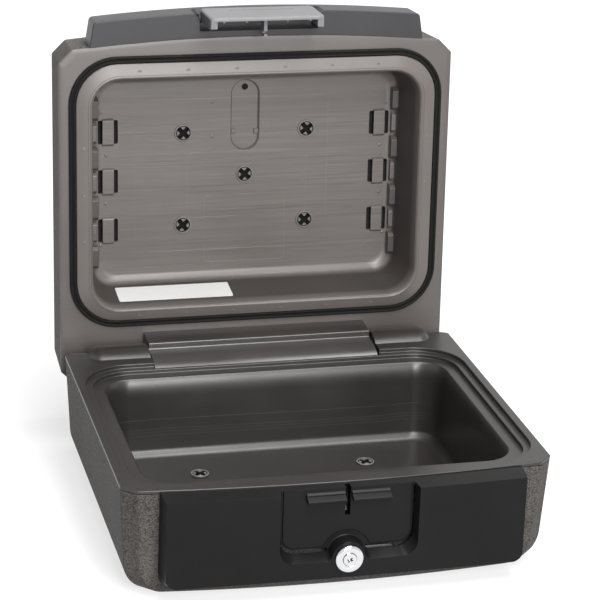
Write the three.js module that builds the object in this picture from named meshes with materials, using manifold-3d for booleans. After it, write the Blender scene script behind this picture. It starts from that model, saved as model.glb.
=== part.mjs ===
// Portable fire chest: a double walled moulded case with a hinged lid, a flip latch and a key lock.
// Millimetres. X is to the right, Y to the back and Z up, from the middle of the underside.
// The lid's pieces are drawn where they lie when the lid is shut, and its group turns them open.

import * as THREE from 'three';
import { mergeVertices } from 'three/addons/utils/BufferGeometryUtils.js';
import Module from 'manifold-3d';

const wasm = await Module();
wasm.setup();

// Whole case
const caseWidth = 390;
const frontY = -164;
const frontBow = 9;
const backY = 172;
const cornerChamfer = 13;
const baseHeight = 106;
const lidHeight = 78;
const baseDraft = 5.5;
const lidDraft = 3.2;
const shellWall = 2.5;
const flangeThickness = 3;
const seamGap = 0.3;
const shutGap = 0.02;
const fitGap = 0.3;
const fillGap = 0.5;
const baseSideRadius = 30;
const baseFrontRadius = 15;
const baseBackRadius = 20;
const lidEdgeRadius = 18;

// Base cavity and the stepped rim round it. Margins count in from the case's outline.
const linerWall = 2.5;
const cavitySideMargin = 29.2;
const cavityFrontMargin = 32;
const cavityBackMargin = 68.5;
const cavityCorner = 25;
const floorHeight = 19;
const cavityDraft = 3;
const cavityFillet = 9;
const mouthChamfer = 1.5;
const rimDepth = 8;
const rimSideMargin = 15;
const rimFrontMargin = 12;
const rimBackMargin = 53.5;
const rimCorner = 39;
const ledgeDepth = 4;
const ledgeSideMargin = 8;
const ledgeFrontMargin = 6;
const ledgeBackMargin = 46.5;
const ledgeCorner = 46;
const rimBlockMargin = 2;

// Hinge: axis, humps, pocket and rod
const hingeBackMargin = 13;
const hingeDrop = 27.3;
const openAngle = THREE.MathUtils.degToRad(92.27);
const humpRadius = 33;
const humpWall = 3;
const humpSideMargin = 22;
const humpEndLength = 12;
const humpFootRadius = 25;
const humpBackGap = 0.8;
const reliefGap = 1;
const reliefWall = 2.2;
const pocketHalfWidth = 113.5;
const pocketSideWall = 3;
const pocketRadius = 41.5;
const pocketLipDrop = 6.5;
const stopGap = 0.75;
const pocketBackInset = 2.4;
const rodRadius = 3;
const rodClearance = 0.2;
const rodBossRadius = 8;
const rodBossLength = 9;
const barrelRadius = 11;
const backEdgeGap = 0.35;

// Hinge strap, across and up from the hinge axis
const strapSideGap = 1.2;
const strapFrontReach = 36.9;
const strapStepReach = 34.4;
const strapStepRise = 2.6;
const strapNeckReach = 27.2;
const strapNeckDrop = 2.1;
const strapTipReach = 22;
const strapTipDrop = 33.9;
const strapTipThickness = 3.4;
const strapTipTaper = 0.5;
const strapWall = 3;
const strapWebReach = 4;
const strapRibCount = 5;
const strapRibThickness = 8;

// Lid liner: raised ring, seal and hollow
const ringHeight = 6.5;
const ringSideMargin = 16.3;
const ringFrontMargin = 14.2;
const ringBackMargin = 64.4;
const ringCorner = 40;
const hollowSideMargin = 31.3;
const hollowFrontMargin = 29;
const hollowBackMargin = 76.3;
const hollowCorner = 28;
const lidRoofHeight = 23.2;
const hollowDraft = 10;
const hollowFillet = 8;
const hollowMouthChamfer = 1.2;
const gasketWidth = 6.6;
const gasketHeight = 3.3;
const gasketEdge = 1;

// Lid floor: pill shaped recess, hook slots with their bridges, and side tabs
const pillHalfWidth = 14;
const pillFrontMargin = 18;
const pillLength = 71;
const pillDepth = 3.5;
const pillHoleRadius = 3.25;
const pillHoleMargin = 7.4;
const bridgeSideMargin = 25.2;
const bridgeFrontMargin = 66;
const bridgePitch = 50.4;
const bridgeCount = 3;
const bridgeWidth = 11.5;
const bridgeThickness = 1.8;
const bridgeRise = 2.6;
const slotWidth = 20;
const slotLength = 24;
const slotDepth = 4.5;
const tabCount = 4;
const tabLength = 21;
const tabWidth = 6;
const tabHeight = 9;
const tabBevel = 3;

// Fill plugs in both floors
const plugRadius = 8.8;
const plugRim = 1.2;
const plugStemRadius = 7.6;
const plugStemLength = 7;
const plugCrossWidth = 4.6;
const plugCrossLength = 14;
const plugCrossDepth = 5;
const lidPlugX = 62.9;
const lidPlugFrontY = -65.5;
const lidPlugMiddleY = -21.1;
const lidPlugBackY = 29.3;
const basePlugX = 82;
const basePlugFrontY = -79;
const basePlugMiddleY = -14;
const basePlugBackY = 51;

// Care label on the back wall of the lid's hollow
const labelWidth = 115;
const labelHeight = 30;
const labelThickness = 0.5;
const labelCornerGap = 1.2;
const labelFloorGap = 6.8;

// Grip bar along the lid's front
const gripSideMargin = 30;
const gripTipNarrowing = 4;
const gripReach = 24.6;
const gripLean = 1;
const gripKneeReach = 22;
const gripTopReach = 4;
const gripFaceHeight = 34;
const gripKneeHeight = 37;
const gripHeight = 41.5;
const gripTopNarrowing = 2;
const gripWall = 3;
const gripPocketGap = 2.7;
const gripPocketFlare = 7;
const gripPocketHeight = 21.5;
const gripPocketFloor = 5.5;
const gripCellGap = 8;

// Latch
const latchHalfWidth = 55.8;
const latchFaceReach = 34.7;
const latchThickness = 3.7;
const latchTop = 14;
const latchDrop = 37;
const latchSkirt = 11.5;
const latchWall = 2.5;
const latchCorner = 5;
const latchBevel = 1.6;
const latchPivotReach = 25.5;
const latchPivotRise = 9;
const latchEarRadius = 4.8;
const latchPinRadius = 2;
const latchPinClearance = 0.2;
const hookTopDrop = 13.6;
const hookThickness = 3;
const hookReach = 27.2;
const hookInnerX = 4.6;
const hookOuterX = 35;
const hookRibThickness = 1.8;
const hookRibDrop = 21;
const hookEndRibOut = 7;
const tongueWidth = 3.4;
const tongueSocketDepth = 1.5;
const tongueTopDrop = 14;
const tongueBottomDrop = 27.5;
const tongueTipReach = 13.8;
const notchOuterReach = 18.8;
const notchInnerReach = 15.9;
const notchTopDrop = 21;
const washerRadius = 4.5;
const washerGap = 0.3;

// Front panel
const panelSideMargin = 32;
const panelTaper = 2;
const panelReach = 19.5;
const panelBow = 4.5;
const panelTopDrop = 1.2;
const panelDepth = 86.8;
const panelFootRise = 5;
const panelCorner = 10;
const panelShelfSlope = 2;
const panelWall = 2.5;
const recessFlare = 4.4;
const recessLatchGap = 2;
const recessFaceDrop = 67;
const recessFloorDrop = 57.6;
const recessCorner = 11;
const recessFloorReach = 8.6;
const recessFaceReach = 19;
const recessWall = 2.2;
const bossFloorRadius = 22;
const bossFaceRadius = 18.3;
const catchInnerX = 3;
const catchOuterX = 37.5;
const catchTopDrop = 4.5;
const catchTipDrop = 9.5;
const catchBottomDrop = 13;
const catchReach = 8.7;
const channelWidth = 4.8;
const channelDrop = 28.5;
const shellSlotWidth = 6;
const shellSlotTopDrop = 10;
const shellSlotBottomDrop = 30;

// Lock
const lockDrop = 65;
const lockFaceRadius = 12.75;
const lockFaceReach = 23.2;
const lockFaceEdge = 1.4;
const lockBarrelRadius = 9.5;
const lockBarrelEndReach = 7.9;
const lockBoreRadius = 6.2;
const lockPlugRadius = 6;
const lockPlugProud = 0.2;
const lockNutRadius = 12.6;
const lockNutThickness = 3;
const keyholeRadius = 1.5;
const keySlotWidth = 1.1;
const keySlotLength = 5;
const keySlotDepth = 6.75;
const keySlotCount = 3;
const keyholeDepth = 9;
const tailRadius = 3.2;
const camOuterReach = 5.7;
const camThickness = 1.6;
const camReach = 43.5;
const camWidth = 8;
const camHubRadius = 6.5;
const camScrewHeadRadius = 4.6;
const camScrewHeadHeight = 1.8;

// Screws
const screwHeadRadius = 4;
const screwHeadHeight = 2.4;
const screwShankRadius = 1.6;
const screwShankLength = 11;
const screwClearance = 0.25;
const screwBossRadius = 4.6;
const screwPocketMargin = 1;
const bowFlat = 0.15;
const panelScrewMargin = 48;
const panelScrewTopDrop = 25;
const panelScrewPitch = 45;
const gripScrewInMargin = 75;
const gripScrewOutMargin = 20;
const gripScrewRise = 20;
const strapScrewX = [38.5, 77];
const strapScrewY = 143;

// Facets
const arcDivisions = 3;
const bowDivisions = 8;
const roundSteps = 4;
const roundSides = 20;
const plugSides = 16;
const pinSides = 10;
const latheSides = 28;
const hexSides = 6;
const cutMargin = 5;
const sameSpot = 0.001;

// Sizes and places that follow from the ones above
const deckZ = baseHeight;
const hingeZ = deckZ - hingeDrop;
const screwBoreRadius = screwShankRadius + screwClearance;
const caseHalf = caseWidth / 2;
const cavityHalfWidth = caseHalf - cavitySideMargin;
const cavityFrontY = frontY + cavityFrontMargin;
const cavityBackY = backY - cavityBackMargin;
const cavityDepth = baseHeight - floorHeight;
const rimHalfWidth = caseHalf - rimSideMargin;
const rimFrontY = frontY + rimFrontMargin;
const rimBackY = backY - rimBackMargin;
const ledgeHalfWidth = caseHalf - ledgeSideMargin;
const ledgeFrontY = frontY + ledgeFrontMargin;
const ledgeBackY = backY - ledgeBackMargin;
const hingeY = backY - hingeBackMargin;
const humpEndX = caseHalf - humpSideMargin;
const humpStraightX = humpEndX - humpEndLength;
const ringHalfWidth = caseHalf - ringSideMargin;
const ringFrontY = frontY + ringFrontMargin;
const ringBackY = backY - ringBackMargin;
const hollowHalfWidth = caseHalf - hollowSideMargin;
const hollowFrontY = frontY + hollowFrontMargin;
const hollowBackY = backY - hollowBackMargin;
const hollowDepth = lidHeight - lidRoofHeight;
const pillFrontY = hollowFrontY + pillFrontMargin;
const pillBackY = pillFrontY + pillLength;
const pillHoleY = pillFrontY + pillHoleMargin;
const bridgeX = hollowHalfWidth - bridgeSideMargin;
const bridgeFirstY = hollowFrontY + bridgeFrontMargin;
const tabFirstY = bridgeFirstY - bridgePitch / 2;
const gripHalfWidth = caseHalf - gripSideMargin;
const panelHalfWidth = caseHalf - panelSideMargin;
const panelScrewX = panelHalfWidth - panelScrewMargin;
const recessFloorHalfWidth = latchHalfWidth + recessLatchGap;
const recessTopHalfWidth = recessFloorHalfWidth + recessFlare;
const gripPocketHalfWidth = latchHalfWidth + gripPocketGap;
const gripScrewX = [gripHalfWidth - gripScrewInMargin, gripHalfWidth - gripScrewOutMargin];
const frontMiddleY = frontY - frontBow;
const reliefRadius = humpRadius + reliefGap;
const pocketBackY = backY - pocketBackInset;
const pocketFloorDrop = barrelRadius + stopGap;

const finishes = {
  shell: { color: 0x57534f, roughness: 0.62, metalness: 0 },
  liner: { color: 0x5b5552, roughness: 0.42, metalness: 0 },
  lidLiner: { color: 0x8a8482, roughness: 0.4, metalness: 0 },
  fill: { color: 0xb9b4aa, roughness: 0.95, metalness: 0 },
  panel: { color: 0x232325, roughness: 0.38, metalness: 0 },
  grip: { color: 0x6a6a6f, roughness: 0.45, metalness: 0 },
  latch: { color: 0xb4b2b5, roughness: 0.42, metalness: 0 },
  gasket: { color: 0x1d1b1a, roughness: 0.85, metalness: 0 },
  plug: { color: 0x8f8b88, roughness: 0.4, metalness: 0 },
  label: { color: 0xf2f1ee, roughness: 0.5, metalness: 0 },
  chrome: { color: 0xe8e8ea, roughness: 0.12, metalness: 1 },
  steel: { color: 0x9a9a9c, roughness: 0.35, metalness: 1 },
};

// Solids

function solid(geometry) {
  const bare = geometry.clone();
  bare.deleteAttribute('normal');
  bare.deleteAttribute('uv');
  const merged = mergeVertices(bare);
  return new wasm.Manifold(new wasm.Mesh({
    numProp: 3,
    vertProperties: new Float32Array(merged.attributes.position.array),
    triVerts: new Uint32Array(merged.index.array),
  }));
}

function joined(first, ...others) {
  return others.reduce((sum, next) => sum.add(next), first);
}

function cut(first, ...others) {
  return others.reduce((rest, next) => rest.subtract(next), first);
}

function mesh(name, body, finish) {
  const result = body.getMesh();
  const geometry = new THREE.BufferGeometry();
  geometry.setAttribute('position', new THREE.BufferAttribute(result.vertProperties, 3));
  geometry.setIndex(new THREE.BufferAttribute(result.triVerts, 1));
  geometry.computeVertexNormals();
  const made = new THREE.Mesh(geometry, new THREE.MeshStandardMaterial(finishes[finish]));
  made.name = name;
  return made;
}

function box(x0, x1, y0, y1, z0, z1) {
  const geometry = new THREE.BoxGeometry(x1 - x0, y1 - y0, z1 - z0);
  geometry.translate((x0 + x1) / 2, (y0 + y1) / 2, (z0 + z1) / 2);
  return solid(geometry);
}

function extruded(shape, depth) {
  return new THREE.ExtrudeGeometry(shape, { depth, bevelEnabled: false, curveSegments: pinSides });
}

// A prism whose outline has Y across and Z up, from x0 to x1.
function prismX(outline, x0, x1) {
  const geometry = extruded(outline, x1 - x0);
  geometry.applyMatrix4(new THREE.Matrix4().makeBasis(
    new THREE.Vector3(0, 1, 0), new THREE.Vector3(0, 0, 1), new THREE.Vector3(1, 0, 0)));
  geometry.translate(x0, 0, 0);
  return solid(geometry);
}

function polygon(points) {
  return new THREE.Shape(points.map(([across, up]) => new THREE.Vector2(across, up)));
}

function cylinderX(radius, x0, x1, y, z, sides) {
  const geometry = new THREE.CylinderGeometry(radius, radius, x1 - x0, sides);
  geometry.rotateZ(-Math.PI / 2);
  geometry.translate((x0 + x1) / 2, y, z);
  return solid(geometry);
}

// A cone or cylinder along Y, with its radius at each end.
function coneY(radius0, radius1, y0, y1, x, z, sides) {
  const geometry = new THREE.CylinderGeometry(radius1, radius0, y1 - y0, sides);
  geometry.translate(x, (y0 + y1) / 2, z);
  return solid(geometry);
}

function cylinderZ(radius, z0, z1, x, y, sides) {
  const geometry = new THREE.CylinderGeometry(radius, radius, z1 - z0, sides);
  geometry.rotateX(Math.PI / 2);
  geometry.translate(x, y, (z0 + z1) / 2);
  return solid(geometry);
}

function roundedBlockOutline(halfWidth, y0, y1, radius) {
  const shape = new THREE.Shape();
  shape.absarc(halfWidth - radius, y0 + radius, radius, -Math.PI / 2, 0);
  shape.absarc(halfWidth - radius, y1 - radius, radius, 0, Math.PI / 2);
  shape.absarc(-halfWidth + radius, y1 - radius, radius, Math.PI / 2, Math.PI);
  shape.absarc(-halfWidth + radius, y0 + radius, radius, Math.PI, Math.PI * 3 / 2);
  return outlinePoints(shape, arcDivisions);
}

function outlinePoints(shape, divisions) {
  const points = shape.getPoints(divisions);
  return points.filter((point, i) => point.distanceTo(points[(i + 1) % points.length]) > sameSpot);
}

// The case seen from above: bowed front, straight sides and four cut corners.
function caseOutline(inset) {
  const side = caseHalf - inset.side;
  const front = frontY + inset.front;
  const back = backY - inset.back;
  const shape = new THREE.Shape();
  shape.moveTo(-side + cornerChamfer, front);
  shape.quadraticCurveTo(0, front - 2 * frontBow, side - cornerChamfer, front);
  shape.lineTo(side, front + cornerChamfer);
  shape.lineTo(side, back - cornerChamfer);
  shape.lineTo(side - cornerChamfer, back);
  shape.lineTo(-side + cornerChamfer, back);
  shape.lineTo(-side, back - cornerChamfer);
  shape.lineTo(-side, front + cornerChamfer);
  return outlinePoints(shape, bowDivisions);
}

function evenInset(amount) {
  return { side: amount, front: amount, back: amount };
}

// A closed skin over outlines with like points, stacked by height.
function loft(levels) {
  const stack = [...levels].sort((a, b) => a.z - b.z);
  const count = stack[0].points.length;
  const positions = stack.flatMap(({ points, z }) => points.flatMap((point) => [point.x, point.y, z]));
  const faces = [];
  for (let level = 0; level < stack.length - 1; level += 1) {
    for (let i = 0; i < count; i += 1) {
      const a = level * count + i;
      const b = level * count + (i + 1) % count;
      faces.push(a, b, b + count, a, b + count, a + count);
    }
  }
  const top = (stack.length - 1) * count;
  const bottomCap = THREE.ShapeUtils.triangulateShape(stack[0].points, []);
  const topCap = THREE.ShapeUtils.triangulateShape(stack[stack.length - 1].points, []);
  bottomCap.forEach(([a, b, c]) => faces.push(a, c, b));
  topCap.forEach(([a, b, c]) => faces.push(top + a, top + b, top + c));
  const geometry = new THREE.BufferGeometry();
  geometry.setAttribute('position', new THREE.Float32BufferAttribute(positions, 3));
  geometry.setIndex(faces);
  return geometry;
}

// How far an edge of this radius has drawn in, at a distance from the flat that it ends in.
function roundInset(radius, distance) {
  const left = Math.min(Math.max(distance, 0), radius);
  return radius - Math.sqrt(left * (2 * radius - left));
}

function roundDepths(start, end, radius) {
  const depths = [start];
  for (let step = 0; step <= roundSteps; step += 1) {
    depths.push(end - radius + radius * Math.sin(step / roundSteps * Math.PI / 2));
  }
  return depths;
}

// One wall face of the base or lid shell. The depth is counted from the plane where the two meet.
function caseBody({ side, start, depth, draft, radii, offset }) {
  const end = depth - offset;
  const largest = Math.max(...Object.values(radii)) - offset;
  const levels = roundDepths(start, end, largest).map((d) => {
    const inset = {};
    Object.entries(radii).forEach(([edge, radius]) => {
      inset[edge] = offset + draft * d / depth + roundInset(radius - offset, end - d);
    });
    return { points: caseOutline(inset), z: deckZ + side * d };
  });
  return solid(loft(levels));
}

// A drafted tub with a rounded outline. Its sizes are those at the brim; the mouth is where it starts.
function tubBody({ halfWidth, front, back, corner, brim, mouth, floor, draft, fillet, offset, side }) {
  const end = floor + offset;
  const radius = fillet + offset;
  const levels = roundDepths(mouth, end, radius).map((d) => {
    const inset = draft * (d - brim) / (floor - brim) + roundInset(radius, end - d) - offset;
    const bend = corner - Math.min(inset, draft);
    return {
      points: roundedBlockOutline(halfWidth - inset, front + inset, back - inset, bend),
      z: deckZ + side * d,
    };
  });
  return solid(loft(levels));
}

function plate(points, z0, z1) {
  return solid(loft([{ points, z: z0 }, { points, z: z1 }]));
}

// A loft drawn in X and Z and stacked along Y.
function frontLoft(levels) {
  const geometry = loft(levels.map(({ points, y }) => ({ points, z: -y })));
  geometry.rotateX(Math.PI / 2);
  return solid(geometry);
}

function frontBowAt(x, bow, half) {
  return bow * (1 - (x / half) ** 2);
}

// A bar along the bowed front, seen from above, between two reaches out from the case's front.
function barOutline({ rootHalf, tipHalf, rootY, tipY, rootBow, tipBow }) {
  const shape = new THREE.Shape();
  shape.moveTo(-tipHalf, tipY);
  shape.quadraticCurveTo(0, tipY - 2 * tipBow, tipHalf, tipY);
  shape.lineTo(rootHalf, rootY);
  shape.quadraticCurveTo(0, rootY - 2 * rootBow, -rootHalf, rootY);
  return outlinePoints(shape, bowDivisions);
}

// Hinge shapes

// A barrel on the hinge axis over one hump, with its outer end rounded off.
function humpBarrel(radius, endX, sign) {
  const straight = humpStraightX + endX - humpEndX;
  const points = [new THREE.Vector2(0, 0), new THREE.Vector2(radius, 0)];
  const length = straight - pocketHalfWidth;
  for (let step = 0; step <= roundSteps; step += 1) {
    const turn = step / roundSteps * Math.PI / 2;
    const drop = (radius - humpFootRadius) * (1 - Math.cos(turn));
    points.push(new THREE.Vector2(radius - drop, length + (endX - straight) * Math.sin(turn)));
  }
  points.push(new THREE.Vector2(0, endX - pocketHalfWidth));
  const geometry = new THREE.LatheGeometry(points, latheSides);
  geometry.rotateZ(-Math.PI / 2);
  geometry.translate(pocketHalfWidth, 0, 0);
  if (sign < 0) {
    geometry.rotateZ(Math.PI);
  }
  geometry.translate(0, hingeY, hingeZ);
  return solid(geometry);
}

function hinged(radius, halfWidth, sides) {
  return cylinderX(radius, -halfWidth, halfWidth, hingeY, hingeZ, sides);
}

// What the lid's edge sweeps past behind the hinge axis, taken off the base's back edge.
function backEdgeCutter() {
  const reach = hingeDrop - backEdgeGap;
  const behind = box(-caseWidth, caseWidth, hingeY, backY + cutMargin, hingeZ, deckZ + cutMargin);
  return cut(behind, hinged(reach, caseWidth, latheSides * 2));
}

function pocketBody(radius, halfWidth, floorDrop, top, endY) {
  const lipZ = deckZ - pocketLipDrop;
  const lipY = hingeY - strapFrontReach - fitGap * 2 - radius + pocketRadius;
  const sweep = hinged(radius, halfWidth, latheSides * 2);
  const lower = box(-halfWidth, halfWidth, hingeY - radius, hingeY, hingeZ - radius, lipZ);
  const behind = box(-halfWidth, halfWidth, lipY, endY, hingeZ - floorDrop, top);
  return joined(sweep.intersect(lower), behind);
}

// Base pieces

function baseShell() {
  const radii = { side: baseSideRadius, front: baseFrontRadius, back: baseBackRadius };
  const form = { side: -1, depth: baseHeight, draft: baseDraft, radii };
  const outer = caseBody({ ...form, start: flangeThickness + seamGap, offset: 0 });
  const inner = caseBody({ ...form, start: 0, offset: shellWall });
  const windowX = pocketHalfWidth + pocketSideWall + fitGap;
  const windowZ = hingeZ - pocketFloorDrop - linerWall - fitGap;
  const window = box(-windowX, windowX, hingeY, backY + cutMargin, windowZ, deckZ);
  const slot = box(-shellSlotWidth / 2, shellSlotWidth / 2, frontMiddleY - cutMargin, frontY,
    deckZ - shellSlotBottomDrop, deckZ - shellSlotTopDrop);
  return cut(outer, inner, window, slot, backEdgeCutter(), ...panelScrewHoles(screwBoreRadius));
}

function cavity(offset, mouth) {
  return tubBody({
    halfWidth: cavityHalfWidth, front: cavityFrontY, back: cavityBackY, corner: cavityCorner,
    brim: rimDepth, mouth, floor: cavityDepth, draft: cavityDraft, fillet: cavityFillet, offset, side: -1,
  });
}

function mouthBevel(halfWidth, front, back, corner, chamfer, z, side) {
  const wide = chamfer * 2;
  const mouth = roundedBlockOutline(halfWidth + wide, front - wide, back + wide, corner + wide);
  const throat = roundedBlockOutline(halfWidth, front, back, corner);
  return solid(loft([{ points: mouth, z: z + side * chamfer }, { points: throat, z: z - side * chamfer }]));
}

function rimSteps() {
  const top = deckZ + cutMargin;
  const ledge = roundedBlockOutline(ledgeHalfWidth, ledgeFrontY, ledgeBackY, ledgeCorner);
  const rim = roundedBlockOutline(rimHalfWidth, rimFrontY, rimBackY, rimCorner);
  return joined(plate(ledge, deckZ - ledgeDepth, top), plate(rim, deckZ - rimDepth, top));
}

function rimBlock(extra) {
  const grow = rimBlockMargin + extra;
  const outline = roundedBlockOutline(
    ledgeHalfWidth + grow, ledgeFrontY - grow, ledgeBackY + grow, ledgeCorner + grow);
  return plate(outline, deckZ - rimDepth - linerWall - extra, deckZ - flangeThickness / 2);
}

function rodBosses(extra) {
  const start = pocketHalfWidth;
  const end = pocketHalfWidth + pocketSideWall + rodBossLength + extra;
  const radius = rodBossRadius + extra;
  return joined(
    cylinderX(radius, start, end, hingeY, hingeZ, plugSides),
    cylinderX(radius, -end, -start, hingeY, hingeZ, plugSides));
}

function baseLiner() {
  const deck = plate(caseOutline(evenInset(0)), deckZ - flangeThickness, deckZ);
  const humpRoom = box(-caseWidth, caseWidth, hingeY - humpRadius, backY - humpBackGap,
    deckZ - flangeThickness / 2, deckZ + humpRadius);
  const humps = [1, -1].map((sign) => humpBarrel(humpRadius, humpEndX, sign).intersect(humpRoom));
  const humpHollows = [1, -1].map((sign) => humpBarrel(humpRadius - humpWall, humpEndX - humpWall, sign)
    .intersect(box(-caseWidth, caseWidth, hingeY - humpRadius, backY - humpBackGap - shellWall - humpWall,
      deckZ - humpRadius, deckZ + humpRadius)));
  const pocketTop = deckZ - flangeThickness / 2;
  const pocketShell = pocketBody(pocketRadius + linerWall, pocketHalfWidth + pocketSideWall,
    pocketFloorDrop + linerWall, pocketTop, pocketBackY);
  const floorPlugs = basePlugPlaces().map(([x, y]) => cylinderZ(plugStemRadius + fitGap,
    deckZ - cavityDepth - cutMargin, deckZ - cavityDepth + cutMargin, x, y, plugSides));
  const tub = cavity(linerWall, rimDepth + fitGap);
  const shell = joined(cut(deck, backEdgeCutter()), rimBlock(0), tub, pocketShell);
  const hollowed = cut(shell, ...humpHollows.map((hollow) => hollow.subtract(pocketWalls())));
  return cut(
    joined(hollowed, ...humps.map((hump, i) => hump.subtract(humpHollows[i])), rodBosses(0)),
    rimSteps(), cavity(0, rimDepth - cutMargin),
    mouthBevel(cavityHalfWidth, cavityFrontY, cavityBackY, cavityCorner, mouthChamfer, deckZ - rimDepth, 1),
    pocketBody(pocketRadius, pocketHalfWidth, pocketFloorDrop, deckZ + humpRadius, backY + cutMargin),
    hinged(rodRadius + rodClearance, pocketHalfWidth + pocketSideWall + rodBossLength - humpWall, pinSides),
    ...floorPlugs);
}

function pocketWalls() {
  return pocketBody(pocketRadius + linerWall, pocketHalfWidth + pocketSideWall, pocketFloorDrop + linerWall,
    deckZ, pocketBackY);
}

function baseInsulation() {
  const radii = { side: baseSideRadius, front: baseFrontRadius, back: baseBackRadius };
  const offset = shellWall + fillGap;
  const topDrop = rimDepth + linerWall + fillGap * 2;
  const block = caseBody({ side: -1, start: topDrop, depth: baseHeight, draft: baseDraft, radii, offset });
  const pocket = pocketBody(pocketRadius + linerWall + fillGap, pocketHalfWidth + pocketSideWall + fillGap,
    pocketFloorDrop + linerWall + fillGap, deckZ, backY + cutMargin);
  const plugs = basePlugPlaces().map(([x, y]) => cylinderZ(plugStemRadius + fillGap,
    deckZ - cavityDepth - plugStemLength - fillGap, deckZ - cavityDepth, x, y, plugSides));
  const slot = box(-shellSlotWidth, shellSlotWidth, frontMiddleY, frontY + cutMargin * 2,
    deckZ - shellSlotBottomDrop - fillGap, deckZ);
  return cut(block, cavity(linerWall + fillGap, 0), pocket, rodBosses(fillGap), slot,
    ...plugs, ...panelScrewHoles(screwHeadRadius + screwPocketMargin));
}

function basePlugPlaces() {
  return [
    [-basePlugX, basePlugFrontY], [basePlugX, basePlugFrontY], [0, basePlugMiddleY],
    [-basePlugX, basePlugBackY], [basePlugX, basePlugBackY],
  ];
}

function lidPlugPlaces() {
  return [
    [-lidPlugX, lidPlugFrontY], [lidPlugX, lidPlugFrontY], [0, lidPlugMiddleY],
    [-lidPlugX, lidPlugBackY], [lidPlugX, lidPlugBackY],
  ];
}

// A fill plug with a cross shaped socket. Up is the way its face points: 1 or -1.
function fillPlug(x, y, faceZ, up) {
  const seat = faceZ + up * fitGap;
  const span = (radius, from, to) => (
    cylinderZ(radius, Math.min(from, to), Math.max(from, to), x, y, plugSides));
  const cap = span(plugRadius, seat, seat + up * plugRim);
  const stem = span(plugStemRadius, seat - up * plugStemLength, seat + up * plugRim / 2);
  const floor = seat + up * (plugRim - plugCrossDepth);
  const low = Math.min(floor, seat + up * cutMargin);
  const high = Math.max(floor, seat + up * cutMargin);
  const arm = (halfX, halfY) => box(x - halfX, x + halfX, y - halfY, y + halfY, low, high);
  return cut(joined(cap, stem),
    arm(plugCrossWidth / 2, plugCrossLength / 2), arm(plugCrossLength / 2, plugCrossWidth / 2));
}

function hingeRod() {
  return hinged(rodRadius, pocketHalfWidth + pocketSideWall + rodBossLength - humpWall - fitGap, pinSides);
}

// Front panel

// The panel's full block. Its back edge stands off the shell, which leans back toward its foot.
function panelBlock(wall) {
  const rootY = (drop) => frontY - frontBowAt(panelHalfWidth, frontBow, caseHalf - cornerChamfer)
    + baseDraft * drop / baseHeight - fitGap;
  const faceY = frontMiddleY - panelReach + panelBow + wall;
  const rootBow = frontBow - frontBowAt(panelHalfWidth, frontBow, caseHalf - cornerChamfer);
  const outline = (drop, lift) => barOutline({
    rootHalf: panelHalfWidth - wall, tipHalf: panelHalfWidth - panelTaper - wall,
    rootY: rootY(drop) + lift, tipY: faceY, rootBow, tipBow: panelBow,
  });
  const rise = wall > 0 ? cutMargin : 0;
  const top = panelTopDrop + wall;
  const bottom = panelTopDrop + panelDepth - wall;
  const body = solid(loft([
    { points: outline(top, rise), z: deckZ - top },
    { points: outline(bottom, rise), z: deckZ - bottom },
  ]));
  return body.intersect(panelFrame(wall));
}

// The panel's front view: square top corners, round lower corners, and a shelf and foot that slope.
function panelFrame(wall) {
  const level = (faceShare, y) => {
    const shape = new THREE.Shape();
    const low = deckZ - panelTopDrop - panelDepth + wall + panelFootRise * faceShare;
    const high = deckZ - panelTopDrop - wall - panelShelfSlope * faceShare;
    const side = panelHalfWidth - wall - panelTaper * faceShare;
    shape.moveTo(-side + panelCorner, low);
    shape.lineTo(side - panelCorner, low);
    shape.absarc(side - panelCorner, low + panelCorner, panelCorner, -Math.PI / 2, 0);
    shape.lineTo(side, high);
    shape.lineTo(-side, high);
    shape.absarc(-side + panelCorner, low + panelCorner, panelCorner, Math.PI, Math.PI * 3 / 2);
    return { points: outlinePoints(shape, arcDivisions), y };
  };
  const pastFace = 1 + cutMargin / panelReach;
  return frontLoft([
    level(0, frontY + cutMargin * 2), level(0, frontMiddleY),
    level(pastFace, frontMiddleY - panelReach - cutMargin),
  ]);
}

// The latch recess, open at the panel's top, as a plug that widens toward the face.
function recessBody(grow, floorExtra) {
  const level = (half, drop, reach) => {
    const shape = new THREE.Shape();
    const side = half + grow;
    const low = deckZ - drop - grow;
    const corner = recessCorner + grow;
    shape.moveTo(-side + corner, low);
    shape.lineTo(side - corner, low);
    shape.absarc(side - corner, low + corner, corner, -Math.PI / 2, 0);
    shape.lineTo(side, deckZ + cutMargin);
    shape.lineTo(-side, deckZ + cutMargin);
    shape.absarc(-side + corner, low + corner, corner, Math.PI, Math.PI * 3 / 2);
      return { points: outlinePoints(shape, arcDivisions), y: frontMiddleY - reach };
  };
  const slopeShare = (recessTopHalfWidth - recessFloorHalfWidth) / (recessFaceReach - recessFloorReach);
  const dropShare = (recessFaceDrop - recessFloorDrop) / (recessFaceReach - recessFloorReach);
  const outReach = recessFaceReach + cutMargin;
  const out = outReach - recessFloorReach;
  return frontLoft([
    level(recessFloorHalfWidth, recessFloorDrop, recessFloorReach - floorExtra),
    level(recessFloorHalfWidth + slopeShare * out, recessFloorDrop + dropShare * out, outReach),
  ]);
}

function lockBoss(inset) {
  const z = deckZ - lockDrop;
  const face = frontMiddleY - recessFaceReach - cutMargin;
  const floor = frontMiddleY - recessFloorReach;
  const slopeShare = (bossFloorRadius - bossFaceRadius) / (recessFaceReach - recessFloorReach);
  const outer = bossFloorRadius - slopeShare * (floor - face);
  return coneY(outer - inset, bossFloorRadius - inset, face, floor, 0, z, roundSides * 2);
}

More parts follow.
